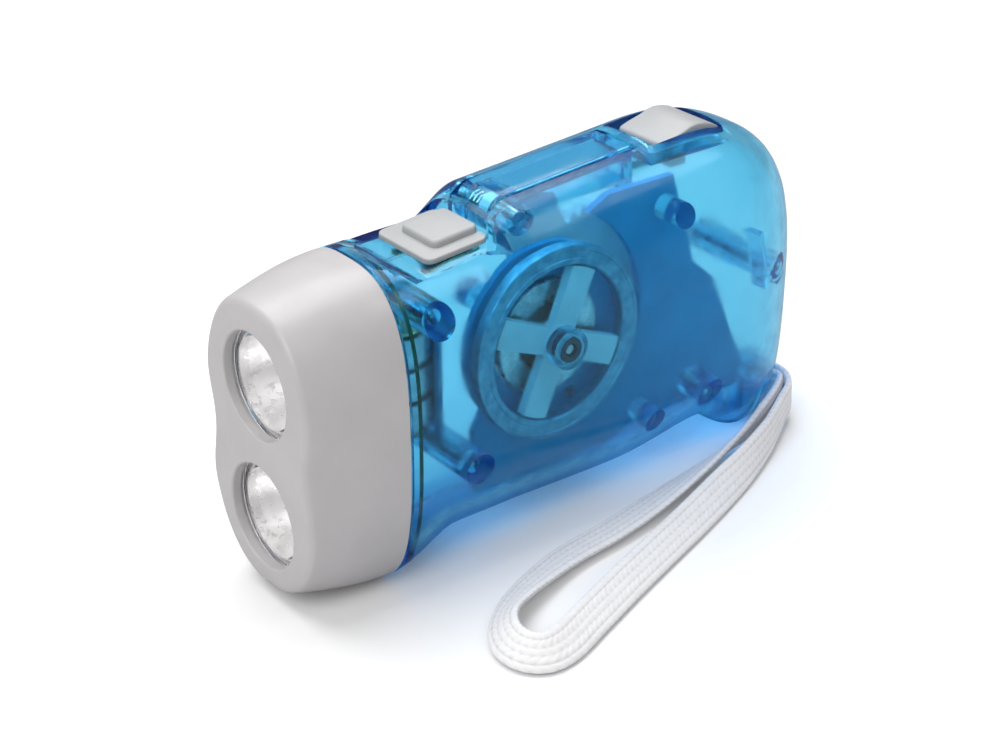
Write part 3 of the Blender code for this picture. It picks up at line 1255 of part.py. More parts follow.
def rectifier_board():
    high_y = BOARD_POST_Y - FIT
    return box((BOARD_LOW[0], high_y - BOARD_THICK, BOARD_LOW[1]), (BOARD_HIGH[0], high_y, BOARD_HIGH[1]))


def diode(index):
    """Small cylinder lying on the board, along X."""
    y = BOARD_POST_Y - 2 * FIT - BOARD_THICK - DIODE_RADIUS
    z = (BOARD_LOW[1] + BOARD_HIGH[1]) / 2 + (index - (DIODES - 1) / 2) * DIODE_SPACING
    x = (BOARD_LOW[0] + BOARD_HIGH[0]) / 2
    return rod((y, z), DIODE_RADIUS, x - DIODE_LENGTH / 2, x + DIODE_LENGTH / 2, "x", 10)


# Wrist strap: flat braid round the strap pin, out of the rear corner and along the floor on the near side.
# Route points: x from the rear end of the case, y, z, and the turn of the braid's face in degrees,
# where 0 stands on edge
STRAP_ROUTE = [
    (-0.0087, -0.00375, 0.0055, 0), (-0.00825, -0.0026, 0.0055, 0), (-0.0071, -0.00185, 0.0055, 0),
    (-0.0055, -0.00185, 0.0055, 0), (-0.0039, -0.00235, 0.0055, 0), (-0.0027, -0.0035, 0.0055, 0),
    (-0.00205, -0.0052, 0.0054, 0), (-0.0021, -0.0074, 0.0052, 0), (-0.0031, -0.0094, 0.0049, 2),
    (-0.0048, -0.0108, 0.0046, 4), (-0.0076, -0.01235, 0.0044, 6), (-0.0116, -0.0147, 0.0041, 9),
    (-0.0156, -0.0168, 0.0037, 14), (-0.023, -0.0199, 0.0031, 28), (-0.0313, -0.0227, 0.0025, 48),
    (-0.041, -0.026, 0.0021, 60), (-0.051, -0.0294, 0.00205, 62), (-0.061, -0.0329, 0.00205, 62),
    (-0.0702, -0.0364, 0.00215, 59), (-0.0766, -0.0389, 0.00235, 52), (-0.0806, -0.0392, 0.0025, 47),
    (-0.083, -0.037, 0.0026, 45), (-0.0831, -0.0333, 0.0026, 45), (-0.0805, -0.0293, 0.0025, 47),
    (-0.0756, -0.026, 0.00235, 52), (-0.0691, -0.0233, 0.0022, 57), (-0.0615, -0.0211, 0.0021, 60),
    (-0.052, -0.0199, 0.00215, 58), (-0.042, -0.0182, 0.0025, 48), (-0.03, -0.016, 0.00315, 32),
    (-0.0195, -0.0141, 0.0041, 14), (-0.012, -0.0123, 0.0047, 4), (-0.0072, -0.01015, 0.0051, 0),
    (-0.0051, -0.0089, 0.0053, 0), (-0.0039, -0.0079, 0.0054, 0), (-0.0038, -0.0067, 0.0055, 0),
    (-0.005, -0.0062, 0.0055, 0), (-0.0071, -0.0062, 0.0055, 0), (-0.00825, -0.0054, 0.0055, 0),
    (-0.0087, -0.00425, 0.0055, 0),
]
STRAP_STEP = 0.0042
STRAP_TIGHT_STEP = 0.0019
STRAP_TIGHT_TURN_DEGREES = 12


def smooth_route():
    """Points on a smooth curve through the strap's route, closer together where it turns."""
    route = [Vector((CASE_LENGTH + x, y, z, tilt)) for x, y, z, tilt in STRAP_ROUTE]
    ends = [route[0] * 2 - route[1]] + route + [route[-1] * 2 - route[-2]]
    points = [route[0]]
    for before, start, end, after in zip(ends, ends[1:], ends[2:], ends[3:]):
        length = (end - start).to_3d().length
        turn = (start - before).to_3d().angle((after - end).to_3d(), 0)
        step = STRAP_TIGHT_STEP if math.degrees(turn) > STRAP_TIGHT_TURN_DEGREES else STRAP_STEP
        count = max(1, round(length / step))
        for k in range(1, count + 1):
            t = k / count
            square = 2 * before - 5 * start + 4 * end - after
            cube = 3 * start - before - 3 * end + after
            points.append(0.5 * (2 * start + (end - before) * t + square * t ** 2 + cube * t ** 3))
    return points


def add_strap():
    curve = bpy.data.curves.new("wrist_strap", "CURVE")
    curve.dimensions = "3D"
    curve.twist_mode = "Z_UP"
    curve.bevel_depth = STRAP_THICK / 2
    curve.extrude = (STRAP_WIDTH - STRAP_THICK) / 2
    curve.bevel_resolution = 2
    curve.use_fill_caps = True
    spline = curve.splines.new("POLY")
    points = smooth_route()
    spline.points.add(len(points) - 1)
    for spot, point in zip(spline.points, points):
        spot.co = (point[0], point[1], point[2], 1)
        spot.tilt = math.radians(point[3])
    curve.materials.append(look("strap"))
    strap = bpy.data.objects.new("wrist_strap", curve)
    strap.parent = case_frame
    bpy.context.scene.collection.objects.link(strap)
    print("strap points", len(points))


def build():
    add_piece("near_shell", near_shell(), "shell")
    add_piece("far_shell", far_shell(), "shell")
    add_piece("head_shell", head_shell(), "head")
    for name, place in LAMP_PLACES.items():
        add_piece("lens_" + name, lens(place), "lens")
        add_piece("reflector_" + name, reflector(place), "mirror")
        add_piece("led_" + name, led(place), "lamp")
    add_piece("lamp_board", lamp_board(), "board")

    pivot = (LEVER_PIVOT_X, 0, LEVER_PIVOT_Z)
    add_piece("press_lever", press_lever(), "shell", pivot)
    add_piece("sector_gear", sector_gear(), "nylon", pivot)
    add_piece("lever_pin", rod(PIVOT, LEVER_PIN_RADIUS, -LEVER_PIN_HALF, LEVER_PIN_HALF), "steel")
    line = spring_points()
    add_piece("lever_spring", wire(line, SPRING_WIRE / 2, SPRING_SIDES), "steel")
    gap = least_self_gap(line, SPRING_WIRE / 2, SPRING_STEPS // 2)
    print("spring: least gap to itself", round(gap * 1000, 3), "mm")

    drive = (DRIVE[0], 0, DRIVE[1])
    clutch = (CLUTCH[0], 0, CLUTCH[1])
    rotor = (ROTOR_X, 0, ROTOR_Z)
    add_piece("drive_gear", drive_gear(), "nylon", drive)
    add_piece("drive_axle", rod(DRIVE, AXLE_RADIUS, AXLE_NEAR_Y, AXLE_FAR_Y, count=12), "steel")
    add_piece("clutch_pinion", clutch_pinion(), "nylon", clutch)
    add_piece("clutch_wheel", clutch_wheel(), "nylon", clutch)
    add_piece("clutch_axle", rod(CLUTCH, AXLE_RADIUS, AXLE_NEAR_Y, AXLE_FAR_Y, count=12), "steel")
    shaft = rod(ROTOR, ROTOR_SHAFT_RADIUS, ROTOR_NEAR_Y, ROTOR_FAR_Y, count=12)
    add_piece("rotor_shaft", shaft, "steel", rotor)
    add_piece("rotor_pinion", rotor_pinion(), "nylon", rotor)
    round_shaft = ROTOR_SHAFT_RADIUS + FIT
    magnet = tube(ROTOR, MAGNET_RADIUS, round_shaft, MAGNET_LOW_Y, MAGNET_HIGH_Y)
    add_piece("rotor_magnet", magnet, "magnet", rotor)
    add_piece("flywheel_hub", flywheel_hub(), "nylon", rotor)
    add_piece("flywheel_rim", flywheel_rim(), "steel", rotor)
    bushing = tube(ROTOR, BUSHING_RADIUS, round_shaft, BUSHING_LOW_Y, BUSHING_HIGH_Y, 16)
    add_piece("rotor_bushing", bushing, "dark")
    add_piece("stator_cup_near", stator_cup(-1), "steel")
    add_piece("stator_cup_far", stator_cup(1), "steel")
    add_piece("coil_winding", coil_winding(), "copper")
    add_piece("gear_bracket", gear_bracket(), "carrier")

    add_piece("switch_slider", switch_slider(), "buttons")
    add_piece("switch_contact_near", switch_contact(-1), "steel")
    add_piece("switch_contact_far", switch_contact(1), "steel")
    add_piece("latch_slider", latch_slider(), "buttons")
    for name in SCREW_PLACES:
        add_piece("screw_" + name, case_screw(name), "steel")

    for index in range(CELL_COUNT):
        add_piece("button_cell_%d" % (index + 1), button_cell(index), "steel")
    add_piece("cell_contact_low", cell_contact(CELL_LOW_Z - FIT - CONTACT_THICK), "steel")
    add_piece("cell_contact_high", cell_contact(cell_low(CELL_COUNT)), "steel")
    add_piece("cell_holder", cell_holder(), "carrier")
    add_piece("rectifier_board", rectifier_board(), "board")
    for index in range(DIODES):
        add_piece("diode_%d" % (index + 1), diode(index), "dark")
    pin_low = CHAMBER_LOW_Z - CHAMBER_WALL + SINK + FIT
    pin_high = CHAMBER_HIGH_Z + CHAMBER_WALL - FIT
    pin = rod((STRAP_PIN_X, STRAP_PIN_Y), STRAP_PIN_RADIUS, pin_low, pin_high, "z", 12)
    add_piece("strap_pin", pin, "steel")
    add_strap()


build()
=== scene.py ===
"""Looks of the hand-squeezed dynamo torch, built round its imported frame, in metres with +Z up.

Shapes are worked out along X from the front face of the head and put in place by REST at the end.
"""
import math

import bmesh
import bpy
import numpy as np
from mathutils import Matrix, Vector


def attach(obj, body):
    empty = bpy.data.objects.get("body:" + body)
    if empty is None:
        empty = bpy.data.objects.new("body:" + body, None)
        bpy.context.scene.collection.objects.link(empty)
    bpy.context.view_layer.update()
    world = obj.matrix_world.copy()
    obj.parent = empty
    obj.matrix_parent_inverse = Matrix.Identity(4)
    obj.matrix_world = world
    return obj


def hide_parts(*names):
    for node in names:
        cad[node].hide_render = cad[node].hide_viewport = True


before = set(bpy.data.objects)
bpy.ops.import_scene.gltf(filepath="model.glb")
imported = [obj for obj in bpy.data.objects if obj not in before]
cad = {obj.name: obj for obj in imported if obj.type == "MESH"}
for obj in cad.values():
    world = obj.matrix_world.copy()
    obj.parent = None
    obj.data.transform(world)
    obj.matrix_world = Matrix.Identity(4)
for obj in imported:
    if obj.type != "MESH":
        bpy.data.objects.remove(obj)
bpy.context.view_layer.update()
REST = Matrix.Translation((-0.051, 0, 0))


# The camera of the photograph

def photo_camera():
    """Camera that sees the torch from where the photograph was taken."""
    data = bpy.data.cameras.new("photo_camera")
    data.lens = 69.86
    data.sensor_width = 36
    camera = bpy.data.objects.new("photo_camera", data)
    turn = Matrix.Rotation(math.radians(-38.07), 4, "Z") @ Matrix.Rotation(math.radians(62.18), 4, "X")
    roll = Matrix.Rotation(math.radians(0.115), 4, "Z")
    camera.matrix_world = Matrix.Translation((-0.17046, -0.20831, 0.16369)) @ turn @ roll
    bpy.context.scene.collection.objects.link(camera)
    bpy.context.scene.camera = camera


photo_camera()


# Finishes

def finish(name):
    """A new finish: its material, node tree and main shader."""
    made = bpy.data.materials.new(name)
    made.use_nodes = True
    return made, made.node_tree, made.node_tree.nodes["Principled BSDF"]


def noise(tree, scale, detail=3.0, stretch=None):
    """Noise over the piece's own place, stretched along X, Y, Z where asked."""
    made = tree.nodes.new("ShaderNodeTexNoise")
    made.inputs["Scale"].default_value = scale
    made.inputs["Detail"].default_value = detail
    place = tree.nodes.new("ShaderNodeTexCoord")
    source = place.outputs["Object"]
    if stretch:
        mapping = tree.nodes.new("ShaderNodeMapping")
        mapping.inputs["Scale"].default_value = stretch
        tree.links.new(source, mapping.inputs["Vector"])
        source = mapping.outputs["Vector"]
    tree.links.new(source, made.inputs["Vector"])
    return made.outputs["Fac"]


def between(tree, source, low, high, start=0.35, stop=0.65):
    """Number from low to high as source goes from start to stop."""
    made = tree.nodes.new("ShaderNodeMapRange")
    for name, value in (("From Min", start), ("From Max", stop), ("To Min", low), ("To Max", high)):
        made.inputs[name].default_value = value
    tree.links.new(source, made.inputs["Value"])
    return made.outputs["Result"]


def shaded(tree, source, dark, light, start=0.35, stop=0.65):
    """Colour from dark to light as source goes from start to stop."""
    made = tree.nodes.new("ShaderNodeValToRGB")
    made.color_ramp.elements[0].position = start
    made.color_ramp.elements[0].color = (*dark, 1)
    made.color_ramp.elements[1].position = stop
    made.color_ramp.elements[1].color = (*light, 1)
    tree.links.new(source, made.inputs["Fac"])
    return made.outputs["Color"]


def relief(tree, shader, source, depth, strength):
    """Bump of this depth in metres, on top of one that is already there."""
    made = tree.nodes.new("ShaderNodeBump")
    made.inputs["Strength"].default_value = strength
    made.inputs["Distance"].default_value = depth
    tree.links.new(source, made.inputs["Height"])
    before = shader.inputs["Normal"].links
    if before:
        tree.links.new(before[0].from_socket, made.inputs["Normal"])
    tree.links.new(made.outputs["Normal"], shader.inputs["Normal"])


def moulded(name, dark, light, rough, grain, depth):
    """Moulded plastic: slight mottling, fine spark-eroded grain and uneven gloss."""
    made, tree, shader = finish(name)
    tree.links.new(shaded(tree, noise(tree, 140), dark, light, 0.3, 0.7), shader.inputs["Base Color"])
    gloss = between(tree, noise(tree, 420, 4), rough - 0.05, rough + 0.06)
    tree.links.new(gloss, shader.inputs["Roughness"])
    relief(tree, shader, noise(tree, grain, 2), depth, 0.4)
    return made


def clear_plastic(name, density, thin, rough, bend=1.46, face=(1, 1, 1)):
    """Clear moulded plastic that lets tinted light through to the works.

    Its colour comes from its faces (face) and from its thickness (density and thin). Rough blurs
    what is seen through it, and bend is how much it bends light.
    """
    made, tree, shader = finish(name)
    shader.inputs["Base Color"].default_value = (*face, 1)
    shader.inputs["Transmission Weight"].default_value = 1
    shader.inputs["IOR"].default_value = bend
    tree.links.new(between(tree, noise(tree, 300, 3), rough * 0.6, rough * 1.8), shader.inputs["Roughness"])
    relief(tree, shader, noise(tree, 130, 1), 0.00004, 0.3)
    passing = tree.nodes.new("ShaderNodeBsdfTransparent")
    passing.inputs["Color"].default_value = (*(part ** 1.7 for part in face), 1)
    rays = tree.nodes.new("ShaderNodeLightPath")
    blend = tree.nodes.new("ShaderNodeMixShader")
    tree.links.new(rays.outputs["Is Shadow Ray"], blend.inputs[0])
    tree.links.new(shader.outputs[0], blend.inputs[1])
    tree.links.new(passing.outputs[0], blend.inputs[2])
    output = tree.nodes["Material Output"]
    tree.links.new(blend.outputs[0], output.inputs["Surface"])
    if density:
        taken = tree.nodes.new("ShaderNodeVolumeAbsorption")
        taken.inputs["Color"].default_value = (*thin, 1)
        taken.inputs["Density"].default_value = density
        tree.links.new(taken.outputs[0], output.inputs["Volume"])
    return made


def metal(name, dark, light, rough, brushed=None):
    """Metal with uneven gloss, and fine drawn lines where brushed is a stretch."""
    made, tree, shader = finish(name)
    shader.inputs["Metallic"].default_value = 1
    tree.links.new(shaded(tree, noise(tree, 500, 4), dark, light), shader.inputs["Base Color"])
    tree.links.new(between(tree, noise(tree, 900, 3), rough * 0.7, rough * 1.4), shader.inputs["Roughness"])
    if brushed:
        relief(tree, shader, noise(tree, 1500, 2, brushed), 0.00002, 0.35)
    return made


def braid():
    """Off-white nylon yarn: fine fibres along the yarn, and painted shade that darkens the grooves."""
    made, tree, shader = finish("braid_yarn")
    groove_shade = tree.nodes.new("ShaderNodeAttribute")
    groove_shade.attribute_name = "yarn_height"
    # Painted shade: the yarn is coloured darker where it lies low, in the grooves between ribs and yarns.
    colour = shaded(tree, groove_shade.outputs["Fac"], (0.52, 0.505, 0.51), (0.85, 0.84, 0.845), 0.05, 0.75)
    worn = tree.nodes.new("ShaderNodeMix")
    worn.data_type = "RGBA"
    worn.blend_type = "MULTIPLY"
    worn.inputs["Factor"].default_value = 0.2
    tree.links.new(colour, worn.inputs["A"])
    tree.links.new(shaded(tree, noise(tree, 700, 3), (0.82, 0.80, 0.80), (1, 1, 1)), worn.inputs["B"])
    tree.links.new(worn.outputs["Result"], shader.inputs["Base Color"])
    shader.inputs["Roughness"].default_value = 0.72
    shader.inputs["Sheen Weight"].default_value = 0.3
    shader.inputs["Sheen Roughness"].default_value = 0.4
    relief(tree, shader, noise(tree, 9000, 2, (1, 0.25, 1)), 0.00005, 0.6)
    return made


finishes = {
    "shell": clear_plastic("clear_blue_plastic", 210, (0.20, 0.76, 0.92), 0.13, 1.32, (0.49, 0.82, 0.93)),
    # Painted shade: the far half is a darker copy of the same clear blue plastic, which deepens the blue
    # seen through the case.
    "far_shell": clear_plastic("clear_blue_plastic_far_painted_shade", 200, (0.22, 0.76, 0.92), 0.13, 1.33,
                               (0.45, 0.80, 0.92)),
    # Painted shade: the lever is a copy of the same clear blue plastic with deeper-tinted faces.
    "lever": clear_plastic("clear_blue_lever_painted_shade", 190, (0.28, 0.76, 0.92), 0.09, 1.33, (0.46, 0.78, 0.90)),
    "lens": clear_plastic("clear_lens_plastic", 0, (1, 1, 1), 0.02),
    "head": moulded("head_grey_plastic", (0.455, 0.44, 0.445), (0.485, 0.47, 0.475), 0.34, 5200, 0.00002),
    "buttons": moulded("button_grey_plastic", (0.375, 0.385, 0.395), (0.40, 0.41, 0.42), 0.42, 4800,
                       0.00002),
    "nylon": moulded("gear_nylon", (0.62, 0.65, 0.66), (0.80, 0.82, 0.82), 0.45, 3000, 0.00002),
    "dark": moulded("dark_plastic", (0.030, 0.034, 0.045), (0.060, 0.064, 0.080), 0.45, 3000, 0.00003),
    # Painted shade: the carrier is coloured deep blue, standing in for the blue shade seen through the
    # case.
    "carrier": moulded("carrier_painted_deep_blue_shade", (0.002, 0.26, 0.46), (0.006, 0.32, 0.55), 0.60, 3000, 0.00003),
    "magnet": moulded("magnet_ferrite", (0.035, 0.035, 0.037), (0.085, 0.085, 0.09), 0.55, 2500, 0.00004),
    "board": moulded("board_laminate", (0.035, 0.16, 0.06), (0.06, 0.24, 0.10), 0.35, 2500, 0.00002),
    "steel": metal("turned_steel", (0.46, 0.47, 0.48), (0.66, 0.67, 0.68), 0.28, (1, 14, 1)),
    # Painted light: the blackened steel rim carries a blue cast, standing in for light tinted by the case.
    "rim": metal("blackened_steel_painted_blue_cast", (0.20, 0.40, 0.52), (0.30, 0.50, 0.62), 0.50, (1, 14, 1)),
    "nickel": metal("nickel_plate", (0.56, 0.57, 0.60), (0.70, 0.71, 0.73), 0.36, (1, 1, 12)),
    "copper": metal("copper_wire", (0.52, 0.20, 0.08), (0.78, 0.36, 0.15), 0.33),
    "lamp": clear_plastic("lamp_resin", 0, (1, 1, 1), 0.05),
    "contact": metal("contact_brass", (0.62, 0.50, 0.30), (0.78, 0.66, 0.42), 0.28),
    "mirror": metal("bright_mirror", (0.87, 0.86, 0.86), (0.93, 0.92, 0.92), 0.32),
    "braid": braid(),
}


# Making meshes

SAME_PLACE = 0.000002


def even_angles(count):
    """Angles of this many even steps of one turn."""
    return [2 * math.pi * k / count for k in range(count)]


def closed(bm):
    """The mesh with doubles merged and faces turned outwards."""
    bmesh.ops.remove_doubles(bm, verts=bm.verts, dist=SAME_PLACE)
    bmesh.ops.recalc_face_normals(bm, faces=bm.faces)
    mesh = bpy.data.meshes.new("form")
    bm.to_mesh(mesh)
    bm.free()
    return mesh


def join_rows(bm, low, high):
    """A band of four-sided faces between two rings with the same number of points."""
    count = len(low)
    for k in range(count):
        bm.faces.new((low[k], low[(k + 1) % count], high[(k + 1) % count], high[k]))


def skin(rings):
    """Closed form through rings of points."""
    bm = bmesh.new()
    rows = [[bm.verts.new(point) for point in ring] for ring in rings]
    for low, high in zip(rows, rows[1:]):
        join_rows(bm, low, high)
    bm.faces.new(rows[0])
    bm.faces.new(rows[-1])
    return closed(bm)


def slab(outline, low, high, along="y"):
    """Outline pushed from low to high along Y or Z."""
    upright = along == "z"
    bm = bmesh.new()
    face = bm.faces.new([bm.verts.new((a, b, low) if upright else (a, low, b)) for a, b in outline])
    moved = bmesh.ops.extrude_face_region(bm, geom=[face])["geom"]
    bmesh.ops.translate(bm, vec=(0, 0, high - low) if upright else (0, high - low, 0),
                        verts=[part for part in moved if isinstance(part, bmesh.types.BMVert)])
    return closed(bm)


def block(low, high):
    """Box between two opposite corners."""
    (x0, y0, z0), (x1, y1, z1) = low, high
    return slab([(x0, z0), (x1, z0), (x1, z1), (x0, z1)], y0, y1)


def lathe(profile, center, along="y", count=48):
    """Profile of (radius, distance) turned about an axis.

    A profile that starts at radius 0 also ends there; any other is closed into a ring.
    """
    bm = bmesh.new()
    rows = []
    for turn in even_angles(count):
        c, s = math.cos(turn), math.sin(turn)
        row = []
        for r, d in profile:
            a, b = center[0] + r * c, center[1] + r * s
            row.append(bm.verts.new({"x": (d, a, b), "y": (a, d, b), "z": (a, b, d)}[along]))
        rows.append(row)
    last = len(profile) if profile[0][0] > 0 else len(profile) - 1
    for a, b in zip(rows, rows[1:] + rows[:1]):
        for k in range(last):
            j = (k + 1) % len(profile)
            bm.faces.new((a[k], a[j], b[j], b[k]))
    bmesh.ops.remove_doubles(bm, verts=bm.verts, dist=SAME_PLACE)
    bmesh.ops.dissolve_degenerate(bm, dist=SAME_PLACE / 2, edges=bm.edges)
    return closed(bm)


def peg(center, radius, low, high, along="y"):
    """Plain round rod along one axis."""
    return lathe([(0, low), (radius, low), (radius, high), (0, high)], center, along, 32)


def softened(mesh, width, segments, wanted):
    """The mesh with its wanted edges rounded."""
    bm = bmesh.new()
    bm.from_mesh(mesh)
    edges = [edge for edge in bm.edges if len(edge.link_faces) == 2 and wanted(edge)]
    bmesh.ops.bevel(bm, geom=edges, offset=width, segments=segments, profile=0.5, affect="EDGES",
                    clamp_overlap=True)
    return closed(bm)


def sharp(edge):
    """Whether the faces on either side of the edge meet at a clear corner."""
    return edge.calc_face_angle(0) > 0.6


def gap(edge, axis):
    """How far apart the ends of an edge are along one axis."""
    return abs(getattr(edge.verts[0].co, axis) - getattr(edge.verts[1].co, axis))


def lowest(edge, axis):
    """The lower end of an edge along one axis."""
    return min(getattr(vert.co, axis) for vert in edge.verts)


def shaped(blank, steps):
    """The blank with tools cut away (DIFFERENCE) or joined on (UNION), in turn."""
    body = bpy.data.objects.new("blank", blank)
    bpy.context.scene.collection.objects.link(body)
    tools = []
    for operation, mesh in steps:
        tool = bpy.data.objects.new("tool", mesh)
        bpy.context.scene.collection.objects.link(tool)
        tools.append(tool)
        change = body.modifiers.new(operation, "BOOLEAN")
        change.operation = operation
        change.object = tool
    mesh = bpy.data.meshes.new_from_object(body.evaluated_get(bpy.context.evaluated_depsgraph_get()))
    for thing in tools + [body]:
        bpy.data.objects.remove(thing)
    return mesh


def piece(name, mesh, look, body, stands_for, flat=35):
    """A finished piece of the torch that moves with one body; edges above flat degrees stay crisp."""
    mesh.transform(REST)
    mesh.shade_smooth()
    mesh.set_sharp_from_angle(angle=math.radians(flat))
    mesh.materials.clear()
    mesh.materials.append(finishes[look])
    mesh.name = name
    made = bpy.data.objects.new(name, mesh)
    bpy.context.scene.collection.objects.link(made)
    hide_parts(*stands_for)
    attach(made, body)
    return made


def grown(name, tree, values):
    """Plain mesh made by a geometry tree with these named inputs."""
    holder = bpy.data.objects.new(name, bpy.data.meshes.new(name))
    bpy.context.scene.collection.objects.link(holder)
    change = holder.modifiers.new("growth", "NODES")
    change.node_group = tree
    for item in tree.interface.items_tree:
        if item.item_type == "SOCKET" and item.in_out == "INPUT" and item.name in values:
            change[item.identifier] = values[item.name]
    mesh = bpy.data.meshes.new_from_object(holder.evaluated_get(bpy.context.evaluated_depsgraph_get()))
    holder.modifiers.remove(change)
    bpy.data.objects.remove(holder)
    return mesh


# The strap: a flat braid on one smooth path

STRAP_WIDTH = 0.0060
STRAP_THICK = 0.0012
STRAP_RIBS = 5
YARN_PITCH = 0.0013
# Each point of the route: X, Y, Z and how far the braid leans over from standing on its edge, in degrees
STRAP_POINTS = [
    (0.0933, -0.00375, 0.0055, 0), (0.09375, -0.0026, 0.0055, 0), (0.0949, -0.00185, 0.0055, 0),
    (0.0965, -0.00185, 0.0055, 0), (0.0981, -0.00235, 0.0055, 0), (0.0993, -0.0035, 0.0055, 0),
    (0.09995, -0.0052, 0.0054, 0), (0.0999, -0.0074, 0.0052, 0), (0.0989, -0.0094, 0.0049, 2),
    (0.0972, -0.0108, 0.0046, 4), (0.0944, -0.01235, 0.0044, 6), (0.0904, -0.0147, 0.0041, 9),
    (0.0864, -0.0168, 0.0037, 14), (0.079, -0.0199, 0.0031, 28), (0.0707, -0.0227, 0.0025, 48),
    (0.061, -0.026, 0.0021, 60), (0.051, -0.0294, 0.00205, 62), (0.041, -0.0329, 0.00205, 62),
    (0.0318, -0.0364, 0.00215, 59), (0.0254, -0.0389, 0.00235, 52), (0.0214, -0.0392, 0.0025, 47),
    (0.019, -0.037, 0.0026, 45), (0.0189, -0.0333, 0.0026, 45), (0.0215, -0.0293, 0.0025, 47),
    (0.0264, -0.026, 0.0021, 60), (0.0329, -0.0233, 0.0017, 72), (0.0405, -0.0211, 0.0014, 80),
    (0.05, -0.0199, 0.0014, 82), (0.06, -0.0182, 0.0016, 76), (0.072, -0.016, 0.0024, 56),
    (0.0825, -0.0141, 0.0037, 30), (0.09, -0.0123, 0.0047, 4), (0.0948, -0.01015, 0.0051, 0),
    (0.0969, -0.0089, 0.0053, 0), (0.0981, -0.0079, 0.0054, 0), (0.0982, -0.0067, 0.0055, 0),
    (0.097, -0.0062, 0.0055, 0), (0.0949, -0.0062, 0.0055, 0), (0.09375, -0.0054, 0.0055, 0),
    (0.0933, -0.00425, 0.0055, 0),
]


def strap_path(step):
    """Points along the route at even steps, each with the turn of the braid's face."""
    route = np.array(STRAP_POINTS)
    ends = np.vstack([2 * route[0] - route[1], route, 2 * route[-1] - route[-2]])
    fine = [route[0]]
    for before, start, end, after in zip(ends, ends[1:], ends[2:], ends[3:]):
        for t in np.linspace(0, 1, 41)[1:]:
            fine.append(0.5 * (2 * start + (end - before) * t
                               + (2 * before - 5 * start + 4 * end - after) * t ** 2
                               + (3 * start - before - 3 * end + after) * t ** 3))
    fine = np.array(fine)
    gone = np.concatenate([[0], np.cumsum(np.linalg.norm(np.diff(fine[:, :3], axis=0), axis=1))])
    count = int(gone[-1] / step) + 1
    places = np.linspace(0, gone[-1], count)
    return np.stack([np.interp(places, gone, fine[:, k]) for k in range(4)], 1), gone[-1]


def braid_section(count):
    """Round the flat section: place across (-1 to 1) and side (+1, -1)."""
    spots = []
    for side in (1, -1):
        for k in range(count):
            across = math.cos(math.pi * k / count)
            spots.append((across if side > 0 else -across, side))
    return spots


def braid_mesh():
    """Ribbon whose ribs and slanted yarns are modelled, with the height of the yarn kept for the painted
    shade in its grooves.
    """
    path, length = strap_path(0.00024)
    spots = braid_section(34)
    points = path[:, :3]
    ahead = np.gradient(points, axis=0)
    ahead /= np.linalg.norm(ahead, axis=1)[:, None]
    up = np.array([0, 0, 1.0]) - ahead * ahead[:, 2:3]
    up /= np.linalg.norm(up, axis=1)[:, None]
    side = np.cross(ahead, up)
    tilt = np.radians(path[:, 3])[:, None]
    wide = up * np.cos(tilt) + side * np.sin(tilt)
    thick = np.cross(wide, ahead)
    gone = np.linspace(0, length, len(path))
    rows, heights = [], []
    for across, face in spots:
        rib = min(int((across + 1) / 2 * STRAP_RIBS), STRAP_RIBS - 1)
        inside = ((across + 1) / 2 * STRAP_RIBS - rib) * 2 - 1
        lean = 0.5 if rib % 2 else -0.5
        crown = math.sqrt(max(1 - inside ** 2, 0))
        yarn = np.abs(np.sin(math.pi * (gone / YARN_PITCH + lean * inside * face)))
        height = (0.35 + 0.65 * crown) * (0.55 + 0.45 * yarn ** 0.6)
        body = STRAP_THICK / 2 * (0.52 + 0.48 * height) * (1 - abs(across) ** 6) ** 0.5
        rows.append(points + wide * across * STRAP_WIDTH / 2 * (0.965 + 0.035 * height[:, None])
                    + thick * face * body[:, None])
        heights.append(height)
    rings = np.stack(rows, 1)
    count, around = rings.shape[:2]
    index = np.arange(count * around).reshape(count, around)
    after = np.roll(index, -1, axis=1)
    quads = np.stack([index[:-1], after[:-1], after[1:], index[1:]], -1).reshape(-1, 4)
    faces = [tuple(q) for q in quads.tolist()] + [tuple(index[0, ::-1].tolist()), tuple(index[-1].tolist())]
    mesh = bpy.data.meshes.new("braid")
    mesh.from_pydata(rings.reshape(-1, 3).tolist(), [], faces)
    # Height of the yarn, which the braid's finish turns into painted shade in the grooves.
    groove_shade = mesh.attributes.new("yarn_height", "FLOAT", "POINT")
    groove_shade.data.foreach_set("value", np.stack(heights, 1).ravel().astype(np.float32))
    bm = bmesh.new()
    bm.from_mesh(mesh)
    bmesh.ops.recalc_face_normals(bm, faces=bm.faces)
    bm.to_mesh(mesh)
    bm.free()
    return mesh, points, length


def add_strap():
    """The loop of braid, built along its own middle line."""
    mesh, points, length = braid_mesh()
    made = piece("wrist_strap_braid", mesh, "braid", "case", ["wrist_strap"], flat=180)


add_strap()


# The case: rounded sections along X, drawn in by the wall inside

LENGTH = 0.102
HEAD = 0.0165
HEAD_WALL = 0.0016
HEAD_TOP, HEAD_BOTTOM = 0.0501, -0.0006
HALF_WIDTH = 0.0146
HALF_SPACING = 0.01065
MIDDLE = 0.025
SQUARE = 2.9
WALL = 0.0018
FIT = 0.0003
PARTING = 0.00005
# Height and distance to the side that lie outside the case
ABOVE, BESIDE = 0.060, 0.020
# How the rear end closes: the length of the curve and its power, for the top, the belly and the sides
TOP_CURVE, BELLY_CURVE, SIDE_CURVE = (0.031, 2.4), (0.0085, 2.1), (0.0237, 1.85)
